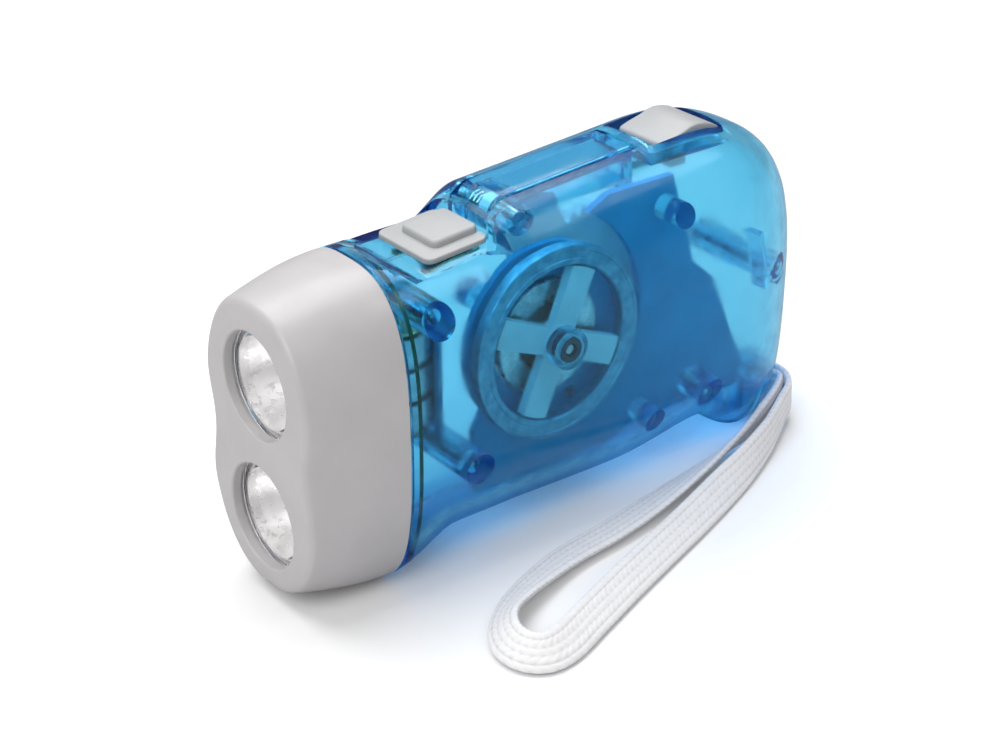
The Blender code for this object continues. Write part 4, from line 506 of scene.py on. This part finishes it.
# Places in the side view, as X and Z
CROWN_START, CROWN_PEAK = (0.0330, 0.05385), (0.0750, 0.0570)
SCOOP_FRONT, SCOOP_REAR = (0.0228, 0.0478), (0.0371, 0.0490)
PIVOT = (0.0416, 0.0512)
ROTOR = (0.0466, 0.0312)
DRIVE = (0.061064, 0.033364)
CLUTCH = (0.051842, 0.019742)
SCREWS = {"front_top": (0.0240, 0.0418), "front_low": (0.0300, 0.0165),
          "rear_top": (0.0930, 0.0300), "rear_low": (0.0780, 0.0130)}
# Radii of holes and of the round forms inside the case
PIN_HOLE, POST, BOSS = 0.0012, 0.0020, 0.0024
SCREW_POST, SCREW_HOLE, SCREW_WELL = 0.0026, 0.0012, 0.0025
SCREW_SEAT = 0.0021


def eased(share):
    """Share from 0 to 1 that starts and stops gently."""
    share = min(max(share, 0), 1)
    return share * share * (3 - 2 * share)


def mixed(low, high, share):
    """Number that goes from low to high with share."""
    return low + (high - low) * share


def closing(x, curve, inset):
    """Share of the full size left where a quarter curve closes the rear end."""
    length, power = curve
    share = min(max((x - (LENGTH + 0.0001 - length)) / (length - inset), 0), 1)
    return (1 - share ** power) ** (1 / power)


def crown_line(x):
    """Height of the top along the case: level by the switch, then rising over the lever to the latch."""
    (x0, z0), (x1, z1) = CROWN_START, CROWN_PEAK
    return mixed(HEAD_TOP, z0 + (z1 - z0) / (x1 - x0) * (x - x0), eased((x - x0) / 0.008))


def belly_line(x):
    """Height of the belly along the case, raised between the head and the rear foot."""
    knots = [(HEAD, HEAD_BOTTOM), (0.028, 0.0040), (0.060, 0.0032), (0.079, 0.0053), (0.0905, -0.0006)]
    for (x0, z0), (x1, z1) in zip(knots, knots[1:]):
        if x <= x1:
            return mixed(z0, z1, eased((x - x0) / (x1 - x0)))
    return knots[-1][1]


def rounded_point(half, top, bottom, power, angle):
    """Point (y, z) of a squarish round section."""
    c, s = math.cos(angle), math.sin(angle)
    return (math.copysign(abs(c) ** (2 / power), c) * half,
            (top + bottom) / 2 + math.copysign(abs(s) ** (2 / power), s) * (top - bottom) / 2)


def head_ring(x, inset, angles):
    """Section of the head, with the waist of its figure-of-eight face."""
    share = min(max(x / HEAD, 0), 1)
    ease = math.sin(math.pi / 2 * share)
    half = mixed(0.0140, HALF_WIDTH, ease)
    top, bottom = mixed(0.0474, HEAD_TOP, ease), mixed(0.0020, HEAD_BOTTOM, ease)
    power = mixed(2.4, SQUARE, ease)
    waist = 0.0020 / 0.0140 * (1 - share) ** 1.5
    ring = []
    for angle in angles:
        y, z = rounded_point(half - inset, top - inset, bottom + inset, power, angle)
        lift = min(abs(z - (top + bottom) / 2) / HALF_SPACING, 1)
        ring.append((x, y * (1 - waist * math.cos(math.pi / 2 * lift) ** 2), z))
    return ring


def case_size(x, inset):
    """Half width, top and bottom of the case at one place along it."""
    return ((HALF_WIDTH - inset) * closing(x, SIDE_CURVE, inset),
            mixed(MIDDLE, crown_line(x) - inset, closing(x, TOP_CURVE, inset)),
            mixed(MIDDLE, belly_line(x) + inset, closing(x, BELLY_CURVE, inset)))


def case_ring(x, inset, angles):
    """Section of the case behind the head."""
    half, top, bottom = case_size(x, inset)
    return [(x, *rounded_point(half, top, bottom, SQUARE, angle)) for angle in angles]


def stations(end):
    """Places along X where the case's section is taken, closer together at the rear curve."""
    places = list(np.linspace(HEAD + 0.0006, 0.0330, 9)) + list(np.linspace(0.0334, 0.0410, 16))
    places += list(np.linspace(0.0430, 0.0700, 13)) + list(np.linspace(0.0712, 0.0930, 22))
    turns = (0, 12, 24, 35, 45, 55, 64, 72, 80, 86, 90)
    return places + [mixed(0.0936, end, math.sin(math.radians(turn))) for turn in turns]


def half_case(side):
    """One half of the case with its neck, solid."""
    start = -math.pi / 2 if side > 0 else math.pi / 2
    angles = [start + math.pi * k / 56 for k in range(57)]
    neck = HEAD_WALL + FIT
    rings = [head_ring(HEAD - 0.004, neck, angles), head_ring(HEAD + PARTING, neck, angles)]
    rings += [[(HEAD + PARTING + 0.0001, y, z) for _, y, z in head_ring(HEAD, 0.0002, angles)]]
    rings += [[(HEAD + PARTING + 0.0003, y, z) for _, y, z in head_ring(HEAD, 0, angles)]]
    rings += [case_ring(x, 0, angles) for x in stations(LENGTH)]
    return skin([[(x, side * max(abs(y), PARTING), z) for x, y, z in ring] for ring in rings])


def case_room():
    """Room inside the case, narrower in the neck."""
    angles = even_angles(112)
    collar = HEAD_WALL + FIT + 0.0014
    shoulder = 0.0193
    rings = [head_ring(0.0105, collar, angles), head_ring(HEAD, collar, angles)]
    rings += [case_ring(shoulder, collar, angles), case_ring(shoulder, WALL, angles)]
    rings += [case_ring(x, WALL, angles) for x in stations(LENGTH - WALL) if x > 0.0195]
    return skin(rings)


def under_floor():
    """Everything below the floor, cut away so that the torch stands flat."""
    return block((-0.002, -0.018, -0.003), (LENGTH + 0.002, 0.018, 0))


def scoop_tool():
    """The scoop for the switch, with round rear corners."""
    outline = [(0.0170, 0.0504), SCOOP_FRONT, SCOOP_REAR, (SCOOP_REAR[0], ABOVE), (0.0170, ABOVE)]
    tool = slab(outline, -0.0095, 0.0095)
    return softened(tool, 0.003, 10, lambda edge: lowest(edge, "x") > 0.0369 and gap(edge, "y") < 0.0001)


def shared_openings():
    """Scoop, slots of switch, lever and latch, and the latch's pocket."""
    pocket = block((0.0680, -0.0056, 0.0542), (0.0836, 0.0056, ABOVE))
    return [scoop_tool(),
            block((0.0267, -0.0024, 0.0424), (0.0333, 0.0024, ABOVE)),
            block((0.0379, -0.0046, 0.0472), (0.0661, 0.0046, ABOVE)),
            softened(pocket, 0.0008, 3, lambda edge: gap(edge, "z") > 0.001),
            block((0.0702, -0.0030, 0.0512), (0.0769, 0.0030, ABOVE)),
            peg(PIVOT, PIN_HOLE, -0.0069, 0.0069)]


def kept_blocks():
    """Material kept inside both halves: under the scoop, the latch's pocket and round the lever's pin."""
    scoop = [(0.0190, ABOVE), (0.0190, 0.0490), (0.0226, 0.0465), (0.0386, 0.0477), (0.0386, ABOVE)]
    return [slab(scoop, -0.0108, 0.0108), block((0.0670, -0.0068, 0.0530), (0.0848, 0.0068, ABOVE)),
            peg(PIVOT, 0.0023, 0.0048, 0.0073), peg(PIVOT, 0.0023, -0.0073, -0.0048)]


V_RIB = [(0.0858, 0.0385), (0.0865, 0.0372), (0.0885, 0.0283), (0.0915, 0.0305), (0.0911, 0.0316),
         (0.0889, 0.0302), (0.0870, 0.0388)]


def surface_y(x, z):
    """Half width of the case's outside at one place."""
    half, top, bottom = case_size(x, 0)
    rise = min(abs(z - (top + bottom) / 2) / ((top - bottom) / 2), 1)
    return half * (1 - rise ** SQUARE) ** (1 / SQUARE)


def screw_seat(place):
    """Where the underside of a screw's head rests, along Y."""
    return surface_y(*place) - SCREW_SEAT


def cut(*meshes):
    """Steps that cut these meshes away, in turn."""
    return [("DIFFERENCE", mesh) for mesh in meshes]


def near_half():
    """Near half: bosses, posts, rotor seat, rib and the chamber for the ends of the strap."""
    kept = kept_blocks() + [block((0.0912, -0.0083, -0.0018), (0.104, 0.00015, 0.0106)),
                            peg(ROTOR, 0.0032, -BESIDE, -0.0107)]
    kept += [peg(place, POST, -BESIDE, -0.0067) for place in ((0.0700, 0.0460), (0.0660, 0.0120))]
    kept.append(slab(V_RIB, -BESIDE, -0.0085))
    for name, place in SCREWS.items():
        kept.append(peg(place, SCREW_POST, -BESIDE, -0.0073 if name == "rear_top" else PARTING))
    room = shaped(case_room(), cut(*kept))
    holes = [peg(place, SCREW_HOLE, -0.0089 if name == "rear_top" else -0.0091, PARTING)
             for name, place in SCREWS.items()]
    holes += [peg(ROTOR, 0.0023, -0.0132, -0.0089),
              block((0.0924, -0.0071, 0.0020), (0.104, -0.0009, 0.0090)),
              peg((0.0955, -0.0040), 0.0015, 0.0010, 0.0102, "z")]
    return shaped(half_case(-1), cut(under_floor(), room, *shared_openings(), *holes))


def far_half():
    """Far half: bosses for the axles, a post for the board and wells for the screws' heads."""
    kept = kept_blocks() + [peg(DRIVE, BOSS, 0.0050, BESIDE), peg(CLUTCH, BOSS, 0.0069, BESIDE),
                            peg(ROTOR, BOSS, 0.0071, BESIDE), peg((0.0226, 0.0126), POST, 0.0036, BESIDE)]
    kept += [peg(place, SCREW_POST, -PARTING, BESIDE) for place in SCREWS.values()]
    room = shaped(case_room(), cut(*kept))
    holes = [peg(DRIVE, 0.0011, 0.0030, 0.0118), peg(CLUTCH, 0.0011, 0.0049, 0.0118),
             peg(ROTOR, 0.00105, 0.0051, 0.0103)]
    steps = cut(under_floor(), room, *shared_openings(), *holes)
    steps.append(("UNION", peg(SCREWS["rear_top"], 0.0023, -0.0070, 0.002)))
    for place in SCREWS.values():
        steps += cut(peg(place, SCREW_HOLE, -0.0090, BESIDE),
                     peg(place, SCREW_WELL, screw_seat(place) - FIT, BESIDE))
    return shaped(half_case(1), steps)


piece("near_case_half", near_half(), "shell", "case", ["near_shell"])
piece("far_case_half", far_half(), "far_shell", "case", ["far_shell"])


# The head and its lamps

LAMPS = {"low": (0, 0.0134), "high": (0, 0.0347)}
APERTURE = 0.0082
FACE_ROUND = 0.0010
RIM_ROUND = 0.0004


def head_moulding():
    """Grey head: soft face edge, and two round apertures with chamfered, stepped rims."""
    angles = even_angles(144)
    rings = []
    for turn in np.linspace(0, 90, 10):
        bend = math.radians(turn)
        depth, inset = FACE_ROUND * (1 - math.cos(bend)), FACE_ROUND * (1 - math.sin(bend))
        rings.append(head_ring(depth, inset, angles))
    rings += [head_ring(x, 0, angles) for x in np.linspace(FACE_ROUND, HEAD - PARTING, 22)[1:-1]]
    rings += [head_ring(HEAD - PARTING - 0.0001, 0, angles), head_ring(HEAD - PARTING, 0.0001, angles)]
    inner = [head_ring(x, HEAD_WALL, angles) for x in np.linspace(0.0033, HEAD - PARTING, 8)]
    inner.append([(HEAD + 0.002, y, z) for _, y, z in inner[-1]])
    rim = [(APERTURE + RIM_ROUND * (1 - math.sin(t)), RIM_ROUND * (1 - math.cos(t)))
           for t in np.linspace(0, math.pi / 2, 7)]
    profile = [(0, -0.002), (0.0108, -0.002), (rim[0][0], 0)] + rim[1:]
    profile += [(APERTURE, 0.0015), (0.0089, 0.0015), (0.0089, 0.0035), (0, 0.0035)]
    openings = [lathe(profile, place, "x", 96) for place in LAMPS.values()]
    return shaped(skin(rings), cut(under_floor(), skin(inner), *openings))


piece("head_moulding", head_moulding(), "head", "case", ["head_shell"], flat=30)


def bowl(place):
    """Mirror bowl pressed in staggered facets, with a flange and a thin outer wall."""
    rows, around = 11, 34
    front, depth = 0.0032, 0.0088
    bm = bmesh.new()

    def ring(radius, x, shift=0.0):
        turns = [2 * math.pi * (k + shift) / around for k in range(around)]
        return [bm.verts.new((x, place[0] + radius * math.cos(turn), place[1] + radius * math.sin(turn)))
                for turn in turns]

    rings = []
    for row in range(rows + 1):
        share = row / rows
        radius = mixed(0.0028, 0.0079, math.sqrt(1 - share))
        rings.append(ring(radius, front + depth * share, 0.5 * (row % 2)))
    for row in range(rows):
        low, high = rings[row], rings[row + 1]
        for k in range(around):
            j = (k + 1) % around
            if row % 2:
                bm.faces.new((low[k], high[k], high[j]))
                bm.faces.new((low[k], high[j], low[j]))
            else:
                bm.faces.new((low[k], high[k], low[j]))
                bm.faces.new((high[k], high[j], low[j]))
    shapes = [(0.0086, front), (0.0086, front + 0.0008), (0.0081, front + 0.0008)]
    shapes += [(mixed(0.0035, 0.0086, math.sqrt(1 - share)), front + depth * share + 0.0002)
               for share in (0.25, 0.5, 0.75, 0.98)]
    chain = [rings[0]] + [ring(radius, x) for radius, x in shapes] + [rings[-1]]
    for low, high in zip(chain, chain[1:]):
        join_rows(bm, low, high)
    return closed(bm)


def lens_disc(place):
    """Clear disc with a rounded rim and a shallow step, as moulded."""
    low, high, rim, soft, step = 0.0018, 0.0029, 0.0086, 0.0002, 0.00025
    profile = [(0, low), (0.0070, low), (0.0073, low + step), (rim - soft, low + step),
               (rim, low + 0.00045), (rim, high - soft), (rim - soft, high), (0, high)]
    return lathe(profile, place, "x", 96)


def lamp_body(place):
    """Round-nosed clear lamp with its collar."""
    nose, radius, collar = 0.0075, 0.0024, 0.0029
    profile = [(0, nose)]
    profile += [(radius * math.sin(t), nose + radius * (1 - math.cos(t)))
                for t in np.linspace(0, math.pi / 2, 9)[1:]]
    end = nose + 0.0065
    profile += [(radius, end - 0.0010), (collar, end - 0.0010), (collar, end), (0, end)]
    return lathe(profile, place, "x", 40)


for name, place in LAMPS.items():
    piece("mirror_bowl_" + name, bowl(place), "mirror", "case", ["reflector_" + name], flat=12)
    piece("clear_disc_" + name, lens_disc(place), "lens", "case", ["lens_" + name])
    piece("lamp_body_" + name, lamp_body(place), "lamp", "case", ["led_" + name])


# Lever, switch and latch

LEVER_REACH = 0.0242
LEVER_WALL = 0.0016


def sweep(radius, start, stop, count):
    """Points (x, z) on an arc round the lever's pin, in degrees from +X towards +Z."""
    return [(PIVOT[0] + radius * math.cos(math.radians(t)), PIVOT[1] + radius * math.sin(math.radians(t)))
            for t in np.linspace(start, stop, count)]


def rear_point(radius, lower):
    """Where the lever's rear face meets its top, lowered by lower."""
    x = PIVOT[0] + radius
    for _ in range(6):
        z = crown_line(x) - lower
        x = PIVOT[0] + math.sqrt(radius ** 2 - (z - PIVOT[1]) ** 2)
    return x, z


def rear_arc(radius, low_z, top):
    """Rear face of the lever, from a height up to its top point."""
    low = math.degrees(math.asin((low_z - PIVOT[1]) / radius))
    high = math.degrees(math.atan2(top[1] - PIVOT[1], top[0] - PIVOT[0]))
    return sweep(radius, low, high, 10)


def lever_channel():
    """Clear lever: soft outer edges, hollow below, notch for the latch and stop lug."""
    top = rear_point(LEVER_REACH, 0)
    outline = sweep(0.0032, 90, 270, 28) + [(0.0455, 0.0502), (0.0658 - 0.00325, 0.0502)]
    outline += rear_arc(LEVER_REACH, 0.0472, top)
    outline += [(x, crown_line(x)) for x in np.linspace(top[0], PIVOT[0] + 0.0016, 18)[1:]]
    reach = 0.0229
    inner_top = rear_point(reach, LEVER_WALL)
    hollow = sweep(0.0025, 90, 180, 14) + [(PIVOT[0] - 0.0025, 0.0448)] + rear_arc(reach, 0.0452, inner_top)
    hollow += [(x, crown_line(x) - LEVER_WALL)
               for x in np.linspace(inner_top[0], PIVOT[0] + 0.0016, 14)[1:]]
    body = softened(slab(outline, -0.0042, 0.0042), 0.0004, 3, lambda edge: gap(edge, "y") < 0.0001)
    lug = sweep(0.0240, -8, -19.3, 5) + sweep(0.0250, -19.3, -21.4, 3) + sweep(0.0231, -21.4, -8, 6)
    return shaped(body, [*cut(slab(hollow, -0.0029, 0.0029)), ("UNION", slab(lug, -0.0040, -0.0022)),
                         *cut(block((0.0487, -0.0022, 0.0502), (0.0678, 0.0022, 0.0526)),
                              peg(PIVOT, PIN_HOLE, -0.0062, 0.0062))])


piece("lever_channel", lever_channel(), "lever", "lever", ["press_lever"])


def scoop_floor(x):
    """Height of the scoop's floor, which rises towards the rear."""
    (x0, z0), (x1, z1) = SCOOP_FRONT, SCOOP_REAR
    return z0 + (z1 - z0) / (x1 - x0) * (x - x0)


def tilted_pad(front, rear, half, low, high, corner, rim):
    """Rounded plate lying along the scoop's floor between two heights above it."""
    outline = []
    for cx, cy, start in ((rear, half, 0), (front, half, 90), (front, -half, 180), (rear, -half, 270)):
        mx = cx - corner if cx == rear else cx + corner
        my = cy - corner if cy > 0 else cy + corner
        for t in range(0, 91, 15):
            turn = math.radians(start + t)
            outline.append((mx + corner * math.cos(turn), my + corner * math.sin(turn)))
    mesh = slab(outline, low, high, "z")
    halfway = (low + high) / 2
    mesh = softened(mesh, rim, 4, lambda edge: lowest(edge, "z") > halfway and sharp(edge))
    for vert in mesh.vertices:
        vert.co.z += scoop_floor(vert.co.x)
    return mesh


def switch_plate():
    """Plate, raised thumb pad and stem of the slide switch."""
    plate = tilted_pad(0.0257, 0.0367, 0.0066, 0.0003, 0.0011, 0.0014, 0.00028)
    pad = tilted_pad(0.0284, 0.0365, 0.0043, 0.0006, 0.0022, 0.0011, 0.00055)
    stem = block((0.0290, -0.0020, 0.0450), (0.0330, 0.0020, scoop_floor(0.0330) + 0.0007))
    return shaped(plate, [("UNION", pad), ("UNION", stem)])


def latch_plate():
    """Crowned latch plate with soft edges, its stem, feet and tongue."""
    crest = [(0.0711, 0.0545), (0.0830, 0.0545), (0.0829, 0.0556), (0.0815, 0.0564), (0.0799, 0.0569),
             (0.0782, 0.0571), (0.0768, 0.0569), (0.0756, 0.0564), (0.0731, 0.0558), (0.0715, 0.0553),
             (0.0711, 0.0550)]
    plate = slab(crest, -0.0051, 0.0051)
    plate = softened(plate, 0.0012, 6, lambda edge: gap(edge, "z") > 0.0003 and gap(edge, "x") < 0.0002
                     and min(abs(vert.co.y) for vert in edge.verts) > 0.005)
    plate = softened(plate, 0.00028, 3, lambda edge: sharp(edge) and lowest(edge, "z") > 0.0549)
    stem = block((0.0730, -0.0026, 0.0508), (0.0765, 0.0026, 0.0547))
    foot = block((0.0732, -0.0044, 0.0506), (0.0763, 0.0044, 0.0522))
    bolt = [(0.0736, 0.0508), (0.0736, 0.0520), (0.0676, 0.0520), (0.0670, 0.0514), (0.0670, 0.0508)]
    tongue = slab(bolt, -0.0018, 0.0018)
    return shaped(plate, [("UNION", stem), ("UNION", foot), ("UNION", tongue)])


piece("switch_plate", switch_plate(), "buttons", "switch", ["switch_slider"], flat=50)
piece("latch_plate", latch_plate(), "buttons", "latch", ["latch_slider"], flat=40)


# Works seen through the case

def turned_rim():
    """Rim of the flywheel: soft edges and a shallow groove turned in its near face."""
    low, high, soft, groove = -0.0103, -0.0081, 0.0004, 0.00012
    inner, outer = 0.0124, 0.0155
    profile = [(inner, low + 0.0002), (0.0126, low), (0.0133, low), (0.0134, low + groove),
               (0.0146, low + groove), (0.0147, low), (outer - soft, low),
               (outer - soft * 0.3, low + soft * 0.3), (outer, low + soft), (outer, high - soft),
               (outer - soft, high), (0.0126, high), (inner, high - 0.0002)]
    return lathe(profile, ROTOR, "y", 128)


def coil_tree():
    """Turns of wire side by side and in layers, each a small ring round the rotor's axis."""
    tree = bpy.data.node_groups.new("coil_turns", "GeometryNodeTree")
    for name, kind in (("Turns", "Int"), ("Layers", "Int"), ("Inner Radius", "Float"), ("Wire", "Float"),
                       ("Low Y", "Float")):
        tree.interface.new_socket(name, in_out="INPUT", socket_type="NodeSocket" + kind)
    tree.interface.new_socket("Geometry", in_out="OUTPUT", socket_type="NodeSocketGeometry")
    join = tree.links.new

    def node(kind, **feeds):
        made = tree.nodes.new(kind)
        for name, source in feeds.items():
            join(source, made.inputs[name.replace("_", " ")])
        return made

    def worked_out(operation, *sources):
        made = tree.nodes.new("ShaderNodeMath")
        made.operation = operation
        for socket, source in zip(made.inputs, sources):
            join(source, socket)
        return made

    feed = node("NodeGroupInput").outputs
    index = node("GeometryNodeInputIndex").outputs[0]
    count = worked_out("MULTIPLY", feed["Turns"], feed["Layers"]).outputs[0]
    turn = worked_out("MODULO", index, feed["Turns"]).outputs[0]
    layer = worked_out("FLOOR", worked_out("DIVIDE", index, feed["Turns"]).outputs[0]).outputs[0]
    radius = worked_out("MULTIPLY_ADD", layer, feed["Wire"], feed["Inner Radius"]).outputs[0]
    across = worked_out("MULTIPLY_ADD", turn, feed["Wire"], feed["Low Y"]).outputs[0]
    place = node("ShaderNodeCombineXYZ", Z=across).outputs[0]
    line = node("GeometryNodeMeshLine", Count=count).outputs[0]
    points = node("GeometryNodeSetPosition", Geometry=line, Position=place).outputs[0]
    ring = node("GeometryNodeCurvePrimitiveCircle")
    ring.inputs["Resolution"].default_value = 48
    ring.inputs["Radius"].default_value = 1
    size = node("ShaderNodeCombineXYZ", X=radius, Y=radius)
    size.inputs["Z"].default_value = 1
    turns = node("GeometryNodeInstanceOnPoints", Points=points, Instance=ring.outputs["Curve"],
                 Scale=size.outputs[0]).outputs[0]
    real = node("GeometryNodeRealizeInstances", Geometry=turns).outputs[0]
    half = worked_out("MULTIPLY", feed["Wire"])
    half.inputs[1].default_value = 0.48
    wire = node("GeometryNodeCurvePrimitiveCircle", Radius=half.outputs[0])
    wire.inputs["Resolution"].default_value = 6
    mesh = node("GeometryNodeCurveToMesh", Curve=real, Profile_Curve=wire.outputs["Curve"]).outputs[0]
    paint = node("GeometryNodeSetMaterial", Geometry=mesh)
    paint.inputs["Material"].default_value = finishes["copper"]
    join(paint.outputs[0], node("NodeGroupOutput").inputs[0])
    return tree


def wound_coil():
    """Copper winding of the stator, grown round Z and laid along Y."""
    mesh = grown("wound_coil", coil_tree(),
                 {"Turns": 8, "Layers": 7, "Inner Radius": 0.00612, "Wire": 0.00034, "Low Y": -0.0062})
    turn = Matrix.Rotation(math.radians(-90), 4, "X")
    mesh.transform(Matrix.Translation((ROTOR[0], 0, ROTOR[1])) @ turn)
    return mesh


def pan_screw(name):
    """Pan head with a cross recess and a threaded shank."""
    x, z = SCREWS[name]
    shank, root, pan, edge = 0.0009, 0.0007, 0.0022, 0.0006
    seat = screw_seat((x, z))
    top = seat + 0.0014
    tip = -0.0086 if name == "rear_top" else -0.0088
    profile = [(0, tip), (0.0004, tip), (shank, tip + 0.0009)]
    place, pitch = tip + 0.0011, 0.0005
    while place < seat - 0.003:
        profile += [(shank, place), (root, place + pitch * 0.4), (root, place + pitch * 0.5)]
        place += pitch
    profile += [(shank, place), (shank, seat), (pan, seat), (pan, top - edge)]
    profile += [(pan - edge * math.sin(t), top - edge * (1 - math.sin(t)) * 0.6) for t in (0.5, 1.0, 1.4)]
    profile += [(0, top)]
    bars = [block((x - wide, top - 0.0008, z - long), (x + wide, top + 0.002, z + long))
            for wide, long in ((0.0003, 0.0013), (0.0013, 0.0003))]
    return shaped(lathe(profile, (x, z), "y", 32), cut(*bars))


piece("turned_rim", turned_rim(), "rim", "rotor", ["flywheel_rim"], flat=30)
piece("wound_coil", wound_coil(), "copper", "case", ["coil_winding"], flat=80)
for name in SCREWS:
    piece("pan_screw_" + name, pan_screw(name), "steel", "case", ["screw_" + name], flat=30)

# Finishes of the solids that are shown as they are
SHOWN_AS_THEY_ARE = {
    "board": "lamp_board rectifier_board",
    "nylon": "sector_gear drive_gear clutch_pinion clutch_wheel rotor_pinion flywheel_hub",
    "steel": "lever_pin lever_spring drive_axle clutch_axle rotor_shaft strap_pin "
             "stator_cup_near stator_cup_far",
    "contact": "switch_contact_near switch_contact_far cell_contact_low cell_contact_high",
    "nickel": "button_cell_1 button_cell_2 button_cell_3",
    "magnet": "rotor_magnet",
    # The carrier's deep blue is painted shade.
    "carrier": "gear_bracket cell_holder",
    "dark": "rotor_bushing diode_1 diode_2 diode_3 diode_4",
}
for look, names in SHOWN_AS_THEY_ARE.items():
    for name in names.split():
        cad[name].data.materials.clear()
        cad[name].data.materials.append(finishes[look])


# Floor, room and lights

def add_floor():
    """Pale floor with soft shadows, plain white to the camera far from the torch.

    It shows darker in reflections and through the clear case, so that these keep their deep colour.
    """
    made, tree, shader = finish("pale_floor")
    rays = tree.nodes.new("ShaderNodeLightPath")
    tone = shaded(tree, rays.outputs["Is Glossy Ray"], (0.90, 0.90, 0.90), (0.35, 0.35, 0.35), 0, 1)
    seen = tree.nodes.new("ShaderNodeMix")
    seen.data_type = "RGBA"
    seen.inputs["B"].default_value = (0.80, 0.80, 0.80, 1)
    tree.links.new(rays.outputs["Is Transmission Ray"], seen.inputs["Factor"])
    tree.links.new(tone, seen.inputs["A"])
    tree.links.new(seen.outputs["Result"], shader.inputs["Base Color"])
    shader.inputs["Roughness"].default_value = 0.9
    shader.inputs["Specular IOR Level"].default_value = 0.1
    glow = tree.nodes.new("ShaderNodeEmission")
    glow.inputs["Strength"].default_value = 1.0
    lifted = tree.nodes.new("ShaderNodeMixShader")
    share = tree.nodes.new("ShaderNodeMath")
    share.operation = "MULTIPLY"
    place = tree.nodes.new("ShaderNodeTexCoord")
    away = tree.nodes.new("ShaderNodeVectorMath")
    away.operation = "LENGTH"
    tree.links.new(place.outputs["Object"], away.inputs[0])
    tree.links.new(between(tree, away.outputs["Value"], 0.05, 1, 0.14, 0.50), share.inputs[1])
    tree.links.new(rays.outputs["Is Camera Ray"], share.inputs[0])
    tree.links.new(share.outputs[0], lifted.inputs[0])
    tree.links.new(shader.outputs[0], lifted.inputs[1])
    tree.links.new(glow.outputs[0], lifted.inputs[2])
    tree.links.new(lifted.outputs[0], tree.nodes["Material Output"].inputs["Surface"])
    bm = bmesh.new()
    bmesh.ops.create_grid(bm, x_segments=1, y_segments=1, size=2)
    mesh = bpy.data.meshes.new("floor")
    bm.to_mesh(mesh)
    bm.free()
    mesh.materials.append(made)
    floor = bpy.data.objects.new("floor", mesh)
    bpy.context.scene.collection.objects.link(floor)


def add_world():
    """White room: soft light on the torch, full white to the camera."""
    world = bpy.data.worlds.new("white_room")
    world.use_nodes = True
    tree = world.node_tree
    back = tree.nodes["Background"]
    back.inputs["Color"].default_value = (1, 1, 1, 1)
    back.inputs["Strength"].default_value = 0.24
    seen = tree.nodes.new("ShaderNodeBackground")
    seen.inputs["Color"].default_value = (1, 1, 1, 1)
    seen.inputs["Strength"].default_value = 1
    rays = tree.nodes.new("ShaderNodeLightPath")
    shown = tree.nodes.new("ShaderNodeMath")
    shown.operation = "MULTIPLY_ADD"
    shown.inputs[1].default_value = 0.62
    mixed_back = tree.nodes.new("ShaderNodeMixShader")
    tree.links.new(rays.outputs["Is Transmission Ray"], shown.inputs[0])
    tree.links.new(rays.outputs["Is Camera Ray"], shown.inputs[2])
    tree.links.new(shown.outputs[0], mixed_back.inputs[0])
    tree.links.new(back.outputs[0], mixed_back.inputs[1])
    tree.links.new(seen.outputs[0], mixed_back.inputs[2])
    tree.links.new(mixed_back.outputs[0], tree.nodes["World Output"].inputs["Surface"])
    bpy.context.scene.world = world


def add_light(name, place, aim, size, power):
    """Softbox of this size and power in watts, turned towards aim."""
    data = bpy.data.lights.new(name, "AREA")
    data.shape = "RECTANGLE"
    data.size, data.size_y = size
    data.energy = power
    lamp = bpy.data.objects.new(name, data)
    lamp.location = place
    lamp.rotation_euler = (Vector(aim) - Vector(place)).to_track_quat("-Z", "Y").to_euler()
    bpy.context.scene.collection.objects.link(lamp)


add_floor()
add_world()
add_light("overhead_softbox", (0.02, 0.26, 0.70), (0, 0, 0.03), (0.85, 0.65), 6.6)
add_light("front_left_softbox", (-0.52, -0.22, 0.50), (-0.02, 0, 0.03), (0.45, 0.45), 2.5)
add_light("near_right_softbox", (0.42, -0.36, 0.58), (0, 0, 0.03), (0.35, 0.3), 0.9)

bpy.context.scene.view_settings.view_transform = "Standard"
bpy.context.scene.cycles.use_denoising = True
for limit in ("max_bounces", "transmission_bounces", "glossy_bounces", "transparent_max_bounces"):
    setattr(bpy.context.scene.cycles, limit, 28)

bpy.context.view_layer.update()
